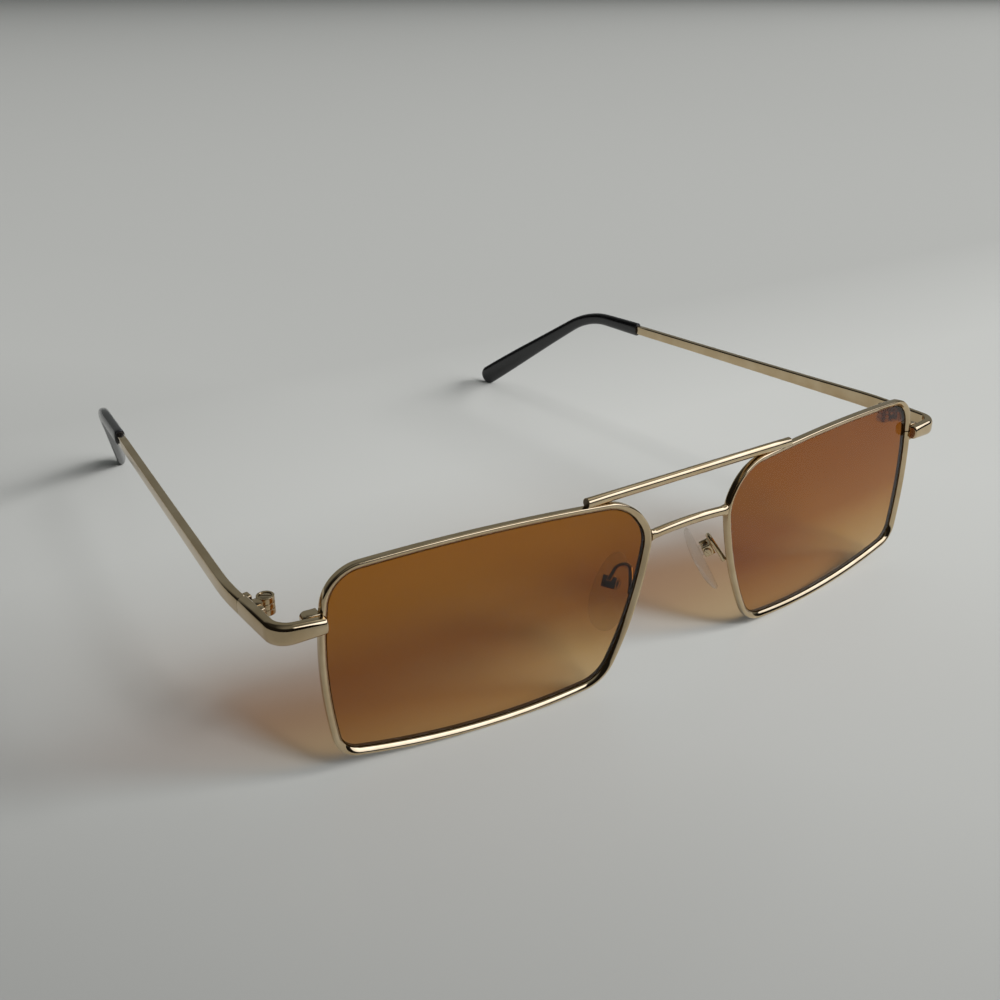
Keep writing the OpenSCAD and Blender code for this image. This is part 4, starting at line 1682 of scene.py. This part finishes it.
@dataclass
class Temple:
    """Flat bar with a thin core, and the black tip that is drawn over the core."""

    side: Side
    line: TempleLine
    bar_length: float = 76.0
    end_height: float = 2.2
    crown: Pair = (0.7, 0.9)
    end_crown: Pair = (0.4, 0.3)
    crown_run: float = 16.0
    inner_radius: float = 0.3
    edge_share: float = 0.5
    butt_edge: float = 0.06
    butt_run: float = 0.6
    shoulder_run: float = 0.2
    shoulder_edge: float = 0.12
    core_length: float = 46.0
    core_width: float = 0.8
    core_height: float = 1.3
    core_radius: float = 0.2
    turn_steps: int = 12
    bar_steps: int = 16
    core_steps: int = 24
    corner_steps: int = 6
    bore_gap: float = 0.1
    bore_space: float = 0.3
    seat: float = 0.02
    tip_thickness: float = 2.1
    tip_start: float = 3.3
    tip_ear: float = 2.9
    tip_end: float = 5.12
    tip_crease: float = 60.0
    end_taper: Pair = (0.93, 0.97)
    mouth_radius: float = 0.3
    squareness: float = 2.6
    tip_sides: int = 32
    mouth_steps: int = 5
    tip_steps: int = 44
    end_steps: int = 14

    def bar(self) -> Solid:
        """The bar with round edges, narrowed to its core where the tip starts.

        Returns:
            The bar.
        """
        line = self.line

        def section(at: float, inset: float) -> list[Pair]:
            """Crowned section of the bar; it gets lower and flatter towards the tip.

            Args:
                at: Distance along the line.
                inset: Inset from the full size.

            Returns:
                The section's points.
            """
            u = at / self.bar_length
            height = mix(line.height, self.end_height, u * (2 - u))
            flat = 1 - math.exp(-at / self.crown_run)
            less = inset * self.edge_share
            rx, ry = (mix(a, b, flat) - less for a, b in zip(self.crown, self.end_crown))
            return crowned(line.thickness - 2 * inset, height - 2 * inset, (rx, ry),
                           self.inner_radius - less, self.corner_steps)

        butt, end = self.butt_edge, self.bar_length - self.seat
        rings = [line.station(0).ring(section(0, butt)), line.station(butt).ring(section(0, 0))]
        turn_end = line.joint_run + line.joint_turn
        places = [self.butt_run]
        places += [mix(line.joint_run, turn_end, u) for u in shares(self.turn_steps)]
        places += [mix(turn_end, end - self.shoulder_run, u) for u in shares(self.bar_steps)[1:]]
        rings += [line.station(at).ring(section(at, 0)) for at in places]
        rings.append(line.station(end).ring(section(end, self.shoulder_edge)))
        core = rounded_rectangle(self.core_width, self.core_height, self.core_radius,
                                 self.corner_steps)
        rings += [line.station(mix(end, self.bar_length + self.core_length, u)).ring(core)
                  for u in shares(self.core_steps)]
        return Solid.loft(rings)

    def oval(self, width: float, height: float) -> list[Pair]:
        """Squarish oval section.

        Args:
            width: Size along the first axis.
            height: Size along the second axis.

        Returns:
            The section's points.
        """
        points = []
        for k in range(self.tip_sides):
            d = angle_vector(360 * (k + 0.5) / self.tip_sides)
            x, y = (math.copysign(abs(v) ** (2 / self.squareness), v) for v in d)
            points.append((width / 2 * x, height / 2 * y))
        return points

    def tip_size(self, at: float) -> Pair:
        """Thickness and height of the tip at a distance, with its end rounded.

        Args:
            at: Distance along the line.

        Returns:
            Its thickness and height.
        """
        line = self.line
        m = line.length - line.ear_tail - line.ear_length / 2
        if at < m:
            u = (at - self.bar_length) / (m - self.bar_length)
            height = mix(self.tip_start, self.tip_ear, eased(u))
        else:
            u = (at - m) / (line.length - m)
            height = mix(self.tip_ear, self.tip_end, eased(u))

        def left(radius: float, taper: float) -> float:
            """Share of a size that the end's rounding leaves."""
            into = min(max(0.0, (at - line.length + radius) / radius), 1)
            return math.sqrt(1 - into ** 2 * taper)

        thin, low = self.end_taper
        return (self.tip_thickness * left(self.tip_thickness / 2, thin),
                height * left(self.tip_end / 2, low))

    def tip(self) -> Solid:
        """The sleeve: its bore over the core, a rounded mouth and a rounded end.

        Returns:
            The sleeve.
        """
        line = self.line
        mouth, r = self.bar_length + self.seat, self.mouth_radius
        bore = rounded_rectangle(self.core_width + 2 * self.bore_gap,
                                 self.core_height + 2 * self.bore_gap, self.core_radius,
                                 self.tip_sides // 4 - 1)
        deep = self.bar_length + self.core_length + self.bore_space
        rings = [line.station(mix(deep, mouth, u)).ring(bore) for u in shares(self.core_steps)]
        for a in (math.pi / 2 * u for u in shares(self.mouth_steps)[1:]):
            at, inset = mouth + r * (1 - math.cos(a)), 2 * r * (1 - math.sin(a))
            w, h = self.tip_size(at)
            rings.append(line.station(at).ring(self.oval(w - inset, h - inset)))
        start, end = mouth + r, line.length - self.tip_end / 2
        places = [mix(start, end, u) for u in shares(self.tip_steps)[1:]]
        places += [end + self.tip_end / 2 * math.sin(math.pi / 2 * u)
                   for u in shares(self.end_steps)[1:]]
        rings += [line.station(at).ring(self.oval(*self.tip_size(at))) for at in places]
        return Solid.loft(rings)

    def build(self) -> list[bpy.types.Object]:
        """Makes and dresses the bar and the tip.

        Returns:
            The pieces.
        """
        word = self.side.word
        return [
            self.bar().piece(f"temple_bar_{word}", self.side, GOLD, Body.TEMPLE,
                             f"temple_{word}"),
            self.tip().piece(f"ear_tip_{word}", self.side, BLACK, Body.TEMPLE,
                             f"temple_tip_{word}", self.tip_crease),
        ]


# Nose pads


@dataclass
class NosePad:
    """Clear pad on its stud, the box that holds it, the screw and the looped arm."""

    side: Side
    arm_rise: float = 13.3
    arm_diameter: float = 0.9
    arm_leg: float = 4.8
    arm_radius: float = 1.4
    arm_tail: float = 2.1
    arm_headings: Pair = (68.0, 58.0)
    arm_lean: float = 36.0
    arm_out: float = 26.0
    arm_in: float = 0.75
    arm_ends: Pair = (0.15, 0.12)
    arm_sides: int = 20
    leg_steps: int = 12
    loop_steps: int = 24
    tail_steps: int = 6
    solder: float = 0.12
    solder_run: float = 0.5
    seat: float = 0.02
    pad_length: float = 14.0
    pad_width: float = 7.0
    pad_thickness: float = 1.9
    pad_splay: float = 26.0
    pad_tip: float = 12.0
    pad_face: float = 28.0
    pad_back: float = 1.15
    pad_drop: float = 1.6
    pad_edge: float = 0.38
    pad_crease: float = 50.0
    narrow_top: float = 0.16
    narrow_side: float = 0.18
    fullness: float = 0.85
    outline_steps: int = 64
    edge_steps: int = 6
    back_rings: tuple[float, ...] = (0.04, 0.5, 0.8)
    face_rings: tuple[float, ...] = (0.8, 0.65, 0.5, 0.35, 0.2, 0.04)
    dome: float = 22.0
    stud: float = 1.5
    stud_end: float = 0.6
    stud_sink: float = 0.3
    stud_edge: float = 0.2
    hole_space: float = 1.0
    box_edge: float = 0.15
    box_base: float = 0.5
    box_floor: float = 0.75
    box_length: float = 2.2
    cheek: float = 0.5
    cheek_reach: float = 0.7
    stud_gap: float = 0.06
    pin: float = 0.4
    pin_gap: float = 0.04
    pin_proud: float = 0.2
    pin_head: float = 0.75
    pin_head_height: float = 0.4
    slot_turn: float = 20.0

    def arm(self) -> Solid:
        """Wire from the back of the rim, looped over to the box, with a foot of solder.

        Returns:
            The wire.
        """
        outline = PLANE.outline
        root_s = outline.edge_point(Edge.NOSE, outline.side_at(Edge.NOSE, self.arm_rise)).s
        root = on_front(root_s - PLANE.rim_width * self.arm_in,
                        PLANE.rim_depth + self.arm_diameter / 2 + self.seat, self.arm_rise)
        lean, out = math.radians(self.arm_lean), math.radians(self.arm_out)
        up = Vector((-math.sin(lean), 0, math.cos(lean)))
        back = Vector((math.sin(out), math.cos(out), 0))
        side = back.cross(up)
        first, second = self.arm_headings
        arc = self.arm_radius * math.radians(second + 90)
        steps = [(0.0, 0.0)]
        for length, turn, count in ((self.arm_leg, second - first, self.leg_steps),
                                    (arc, -second - 90, self.loop_steps),
                                    (self.arm_tail, 0.0, self.tail_steps)):
            steps += [(length / count, turn / count)] * count
        spot, heading = Vector((0.0, 0.0)), first
        stations = []
        for length, turn in steps:
            spot = spot + length * angle_vector(heading + turn / 2)
            heading += turn
            way, over = angle_vector(heading), angle_vector(heading + 90)
            stations.append(Station(root + spot.x * back + spot.y * up, way.x * back + way.y * up,
                                    over.x * back + over.y * up, side))

        def section(share: float, inset: float) -> list[Pair]:
            """Round wire that swells a little where it is soldered.

            Args:
                share: Share of the way along the piece.
                inset: Inset from the full size.

            Returns:
                The section's points.
            """
            run = share * (self.arm_leg + arc + self.arm_tail)
            swell = self.solder * math.exp(-((run / self.solder_run) ** 2))
            return circle(self.arm_diameter / 2 + swell - inset, self.arm_sides)

        return Solid.sweep(stations, section, self.arm_ends)

    def frame(self) -> Matrix:
        """Frame on the pad's rocking axis: x along it, y towards the nose side, z up the pad.

        Returns:
            The frame's matrix, in millimetres.
        """
        pin = Vector(joint_place("pad_left_rock"))
        splay = Matrix.Rotation(math.radians(-self.pad_splay), 4, "Y")
        tip = Matrix.Rotation(math.radians(-self.pad_tip), 4, "X")
        face = Matrix.Rotation(math.radians(90 - self.pad_face), 4, "Z")
        return Matrix.Translation(pin) @ splay @ tip @ face

    def half_box(self) -> float:
        """Half of the box's outer width."""
        return self.stud / 2 + self.stud_gap + self.cheek

    def box(self) -> Solid:
        """Channel with two cheeks beside the stud.

        Returns:
            The channel in its place.
        """
        h, inner = self.half_box(), self.stud / 2 + self.stud_gap
        low, floor, top = -self.box_floor - self.box_base, -self.box_floor, self.cheek_reach
        shape = [(-h, low), (h, low), (h, top), (inner, top), (inner, floor), (-inner, floor),
                 (-inner, top), (-h, top)]
        channel = Solid.prism(shape, -self.box_length / 2, self.box_length / 2)
        return channel.rounded(self.box_edge).moved(self.frame())

    def screw(self) -> Solid:
        """Cross screw through the cheeks and the stud.

        Returns:
            The screw in its place.
        """
        h = self.half_box()
        length = 2 * h + self.pin_proud + self.pin_head_height
        made = SlottedScrew(self.pin, self.pin_head, self.pin_head_height, length)
        flip = Matrix.Translation((-h - self.seat - self.pin_head_height + length, 0, 0))
        turn = Matrix.Rotation(math.radians(-90), 4, "Y")
        return made.solid(self.slot_turn).moved(self.frame() @ flip @ turn)

    def outline(self, share: float) -> list[Pair]:
        """Drop-shaped outline of the pad, drawn in to a share of its size.

        Args:
            share: Share of the full size.

        Returns:
            The outline's points.
        """
        points = []
        for u in shares(self.outline_steps)[:-1]:
            d = angle_vector(360 * u)
            narrow = 1 - self.narrow_top * d.y - (self.narrow_side if d.x < 0 else 0.0)
            reach = self.pad_width / 2 * narrow * math.copysign(abs(d.x) ** self.fullness, d.x)
            points.append((share * reach, share * self.pad_length / 2 * d.y))
        return points

    def pad(self) -> Solid:
        """Domed pad with a round edge and a stud that holds it in the box.

        Returns:
            The pad in its place.
        """
        def height(x: float, z: float) -> float:
            """Height of the dome over the pad's back.

            Args:
                x: Distance across the pad.
                z: Distance up the pad.

            Returns:
                The height.
            """
            across = math.hypot(x, z)
            fall = self.dome - math.sqrt(self.dome ** 2 - across ** 2)
            return self.pad_thickness - fall

        r, back = self.pad_edge, self.pad_back
        edge = 1 - r / (self.pad_width / 2)
        bends = [math.pi / 2 * u for u in shares(self.edge_steps)]
        rings = [[Vector((x, back, z)) for x, z in self.outline(u)] for u in self.back_rings]
        rings += [[Vector((x, back + r * (1 - math.cos(a)), z))
                   for x, z in self.outline(mix(edge, 1, math.sin(a)))] for a in bends]
        rings += [[Vector((x, back + height(x, z) - r * (1 - math.sin(a)), z))
                   for x, z in self.outline(mix(edge, 1, math.cos(a)))] for a in bends]
        rings += [[Vector((x, back + height(x, z), z)) for x, z in self.outline(u)]
                  for u in self.face_rings]
        pad = Solid.loft(rings).moved(Matrix.Translation((0, 0, -self.pad_drop)))
        s, bore, reach = self.stud / 2, self.pin + self.pin_gap, self.stud / 2 + self.hole_space
        stud = Solid.box((-s, -self.stud_end, -s), (s, back + self.stud_sink, s))
        stud.rounded(self.stud_edge)
        hole = Solid.lathe([(bore, -reach), (bore, reach)])
        hole.moved(Matrix.Rotation(math.radians(90), 4, "Y"))
        return pad.joined(stud).without(hole).moved(self.frame())

    def build(self) -> list[bpy.types.Object]:
        """Makes and dresses the arm, the box, the screw and the pad.

        Returns:
            The pieces.
        """
        word = self.side.word
        return [
            self.arm().piece(f"pad_wire_{word}", self.side, GOLD, Body.FRONT, f"pad_arm_{word}"),
            self.box().piece(f"pad_channel_{word}", self.side, GOLD, Body.FRONT,
                             f"pad_box_{word}"),
            self.screw().piece(f"pad_pin_{word}", self.side, SCREW_GOLD, Body.FRONT,
                               f"pad_screw_{word}"),
            self.pad().piece(f"clear_pad_{word}", self.side, CLEAR, Body.PAD, f"nose_pad_{word}",
                             self.pad_crease),
        ]


# Studio


@dataclass(frozen=True)
class Panel:
    """A soft light: its heading and height in degrees, its distance, size, power and tone.

    One that isn't mirrored lights the sunglasses, but metal shows the air's window in its place.
    """

    name: str
    heading: float
    height: float
    distance: float
    size: Pair
    power: float
    tone: Colour = (1.0, 1.0, 1.0)
    mirrored: bool = False
    aim: Triple = (0.0, 0.0, 0.015)

    def build(self) -> None:
        """Hangs the light so that it faces the sunglasses."""
        data = bpy.data.lights.new(self.name, "AREA")
        data.shape, (data.size, data.size_y) = "RECTANGLE", self.size
        data.energy, data.color = self.power, self.tone
        light = bpy.data.objects.new(self.name, data)
        light.visible_glossy = self.mirrored
        flat, rise = angle_vector(self.heading), angle_vector(self.height)
        way = Vector((flat.x * rise.x, flat.y * rise.x, rise.y))
        light.location = self.distance * way + Vector(self.aim)
        light.rotation_euler = (-way).to_track_quat("-Z", "Y").to_euler()
        bpy.context.scene.collection.objects.link(light)


@dataclass(frozen=True)
class Air:
    """Soft light from all round: dim low down, brighter overhead, a pale wall and a window."""

    dim: Colour = (0.012, 0.011, 0.010)
    overhead: Colour = (0.22, 0.23, 0.22)
    far_overhead: Colour = (0.03, 0.03, 0.028)
    wall: Colour = (0.22, 0.23, 0.22)
    backdrop: Colour = (0.36, 0.37, 0.36)
    wall_heading: float = 55.6
    window_heading: float = -50.0
    window_from: Pair = (-0.5, 0.3)
    overhead_from: Pair = (0.56, 0.8)
    wall_from: Pair = (0.30, 0.56)
    window_low: Colour = (1.4, 1.5, 1.8)
    window_high: Colour = (2.3, 2.45, 2.85)
    window_rise: Pair = (0.31, 0.73)
    window_sides: Pair = (-0.36, 0.55)
    window_ahead: Pair = (0.0, 0.1)
    window_edge: float = 0.015

    def build(self) -> None:
        """Makes the world's light; the camera itself sees a plain pale backdrop."""
        world = bpy.data.worlds.new("air")
        bpy.context.scene.world = world
        world.use_nodes = True
        tree = world.node_tree
        tree.nodes.clear()

        def add(kind: str) -> bpy.types.Node:
            """Adds a node."""
            return tree.nodes.new(kind)

        def blend(share: bpy.types.NodeSocket, low: object, high: object) -> bpy.types.NodeSocket:
            """Mixes two colours.

            Args:
                share: Share of the high colour.
                low: Colour, or socket, at share 0.
                high: Colour, or socket, at share 1.

            Returns:
                The mixed colour.
            """
            node = add("ShaderNodeMix")
            node.data_type = "RGBA"
            tree.links.new(share, node.inputs["Factor"])
            for socket, value in ((node.inputs[6], low), (node.inputs[7], high)):
                if isinstance(value, tuple):
                    socket.default_value = (*value, 1.0)
                else:
                    tree.links.new(value, socket)
            return node.outputs[2]

        def step(source: bpy.types.NodeSocket, edges: Pair) -> bpy.types.NodeSocket:
            """Smooth step of a value between two edges.

            Args:
                source: Value to step.
                edges: Where the step starts and ends.

            Returns:
                The step, from 0 to 1.
            """
            node = add("ShaderNodeMapRange")
            node.interpolation_type = "SMOOTHSTEP"
            node.inputs["From Min"].default_value, node.inputs["From Max"].default_value = edges
            tree.links.new(source, node.inputs["Value"])
            return node.outputs["Result"]

        way = add("ShaderNodeTexCoord").outputs["Generated"]
        height = add("ShaderNodeSeparateXYZ")
        tree.links.new(way, height.inputs["Vector"])

        def towards(heading: float) -> bpy.types.NodeSocket:
            """How far a direction points towards a heading.

            Args:
                heading: Heading in degrees.

            Returns:
                The share, from -1 to 1.
            """
            node = add("ShaderNodeVectorMath")
            node.operation = "DOT_PRODUCT"
            node.inputs[1].default_value = (*angle_vector(heading), 0.0)
            tree.links.new(way, node.inputs[0])
            return node.outputs["Value"]

        low = blend(step(towards(self.wall_heading), self.wall_from), self.dim, self.wall)
        high = blend(step(towards(self.window_heading), self.window_from), self.far_overhead,
                     self.overhead)
        light = blend(step(height.outputs["Z"], self.overhead_from), low, high)
        aside, e = towards(self.window_heading + 90), self.window_edge
        sill, head = self.window_rise
        left, right = self.window_sides
        rays = add("ShaderNodeLightPath").outputs
        inside = rays["Is Glossy Ray"]
        for source, edges in ((towards(self.window_heading), self.window_ahead),
                              (height.outputs["Z"], (sill - e, sill + e)),
                              (height.outputs["Z"], (head + e, head - e)),
                              (aside, (left - e, left + e)),
                              (aside, (right + e, right - e))):
            both = add("ShaderNodeMath")
            both.operation = "MULTIPLY"
            tree.links.new(inside, both.inputs[0])
            tree.links.new(step(source, edges), both.inputs[1])
            inside = both.outputs["Value"]
        window = blend(step(height.outputs["Z"], self.window_rise), self.window_low,
                       self.window_high)
        light = blend(inside, light, window)
        seen = blend(rays["Is Camera Ray"], light, self.backdrop)
        shader, output = add("ShaderNodeBackground"), add("ShaderNodeOutputWorld")
        tree.links.new(seen, shader.inputs["Color"])
        tree.links.new(shader.outputs["Background"], output.inputs["Surface"])


@dataclass
class Studio:
    """Pale table with painted light and shade in its colour, soft lights and the camera at the
    photograph's angle.
    """

    table_size: float = 60.0
    table_squares: int = 4
    # Painted light on the table: tones along a heading make it darker near the camera and lighter
    # towards the right and back.
    painted_light_tones: tuple[tuple[float, float], ...] = (
        (-0.14, 0.45), (-0.10, 0.54), (-0.06, 0.63), (0.0, 0.71), (0.06, 0.76), (0.2, 0.74))
    # Painted shade far back: between these depths the colour falls to this share.
    painted_far_shade: Triple = (0.02, 0.11, 0.82)
    table_tint: Colour = (0.985, 1.0, 0.985)
    # Heading along which the painted light grows.
    painted_light_way: Triple = (0.8, 0.6, 0.0)
    cloud: Pair = (-0.01, 0.01)
    cloud_scale: float = 4.0
    cloud_detail: float = 2.0
    table_gloss: float = 0.05
    table_roughness: Pair = (0.198, 0.242)
    gloss_scale: float = 40.0
    camera_place: Triple = (-0.11968, -0.190887, 0.10884)
    camera_turn: Triple = (64.79, 0.14, -34.41)
    camera_range: Pair = (0.005, 100.0)
    lens: float = 39.31
    sensor: float = 36.0
    air: Air = Air()
    panels: tuple[Panel, ...] = (
        Panel("window", -50.0, 27.0, 12.0, (10.0, 3.6), 900.0, (1.0, 0.99, 0.97)),
        Panel("left_pane", -71.0, 43.0, 12.0, (3.0, 3.0), 440.0, (1.0, 0.99, 0.97)),
        Panel("right_pane", -31.0, 30.0, 12.0, (3.0, 3.0), 480.0, (1.0, 0.99, 0.97)),
        Panel("lamp", 8.0, 58.0, 0.9, (0.5, 0.5), 0.3, mirrored=True),
    )

    def table(self) -> bpy.types.Object:
        """The pale table top with a faint sheen; its colour carries painted light and shade: darker
        near the camera, lighter towards the right and back, and darker far back.

        Returns:
            The table top.
        """
        mesh = bmesh.new()
        bmesh.ops.create_grid(mesh, x_segments=self.table_squares, y_segments=self.table_squares,
                              size=self.table_size / 2)
        data = bpy.data.meshes.new("table")
        mesh.to_mesh(data)
        mesh.free()
        b = Bench("pale_table_painted_light")
        chalk = b.add("ShaderNodeBsdfDiffuse")
        # Painted light: the colour follows the position along the lit heading, with a little cloudy
        # tone added.
        along = b.add("ShaderNodeVectorMath")
        along.operation = "DOT_PRODUCT"
        along.inputs[1].default_value = self.painted_light_way
        b.join(b.place(), along.inputs[0])
        uneven = b.add("ShaderNodeMath")
        b.join(along.outputs["Value"], uneven.inputs[0])
        b.vary(uneven.inputs[1], self.cloud_scale, self.cloud, self.cloud_detail)
        first, last = self.painted_light_tones[0][0], self.painted_light_tones[-1][0]
        stops = [((at - first) / (last - first), tuple(tone * v for v in self.table_tint))
                 for at, tone in self.painted_light_tones]
        # Painted shade: the colour falls further back.
        start, end, share = self.painted_far_shade
        far_shade = b.add("ShaderNodeVectorMath")
        far_shade.operation = "SCALE"
        b.join(b.ramp(b.spread(uneven.outputs["Value"], 0.0, 1.0, first, last), stops),
               far_shade.inputs[0])
        b.join(b.spread(b.coordinate("Y"), 1.0, share, start, end), far_shade.inputs["Scale"])
        b.join(far_shade.outputs["Vector"], chalk.inputs["Color"])
        gloss = b.add("ShaderNodeBsdfGlossy")
        b.vary(gloss.inputs["Roughness"], self.gloss_scale, self.table_roughness)
        both = b.shared(self.table_gloss, chalk.outputs["BSDF"], gloss.outputs["BSDF"])
        data.materials.append(b.finish(both))
        top = bpy.data.objects.new("table", data)
        bpy.context.scene.collection.objects.link(top)
        return top

    def camera(self) -> None:
        """The camera, placed as it was worked out from the photograph."""
        data = bpy.data.cameras.new("camera")
        data.lens, data.sensor_width = self.lens, self.sensor
        data.clip_start, data.clip_end = self.camera_range
        eye = bpy.data.objects.new("camera", data)
        eye.location = self.camera_place
        tilt, roll, turn = (math.radians(a) for a in self.camera_turn)
        level = Matrix.Rotation(turn, 4, "Z") @ Matrix.Rotation(tilt, 4, "X")
        eye.rotation_euler = (level @ Matrix.Rotation(roll, 4, "Z")).to_euler()
        bpy.context.scene.collection.objects.link(eye)
        bpy.context.scene.camera = eye

    def build(self) -> None:
        """Sets the whole studio."""
        self.table()
        self.air.build()
        for panel in self.panels:
            panel.build()
        self.camera()
        bpy.context.scene.view_settings.view_transform = "Standard"


def main() -> None:
    """Builds every sub-assembly and reports its pieces."""
    logging.basicConfig(level=logging.INFO, format="%(name)s: %(message)s")
    pieces: list[bpy.types.Object] = []
    pieces += BrowBar().build()
    pieces += Bridge().build()
    for side in Side:
        strip = EndPiece(side)
        line = TempleLine(strip)
        for assembly in (Rim(side), strip, ClosingScrew(side, strip), Hinge(side, strip),
                         Temple(side, line), NosePad(side)):
            pieces += assembly.build()
    Studio().build()
    log.info("%d pieces in all", len(pieces))


if __name__ == "__main__":
    main()
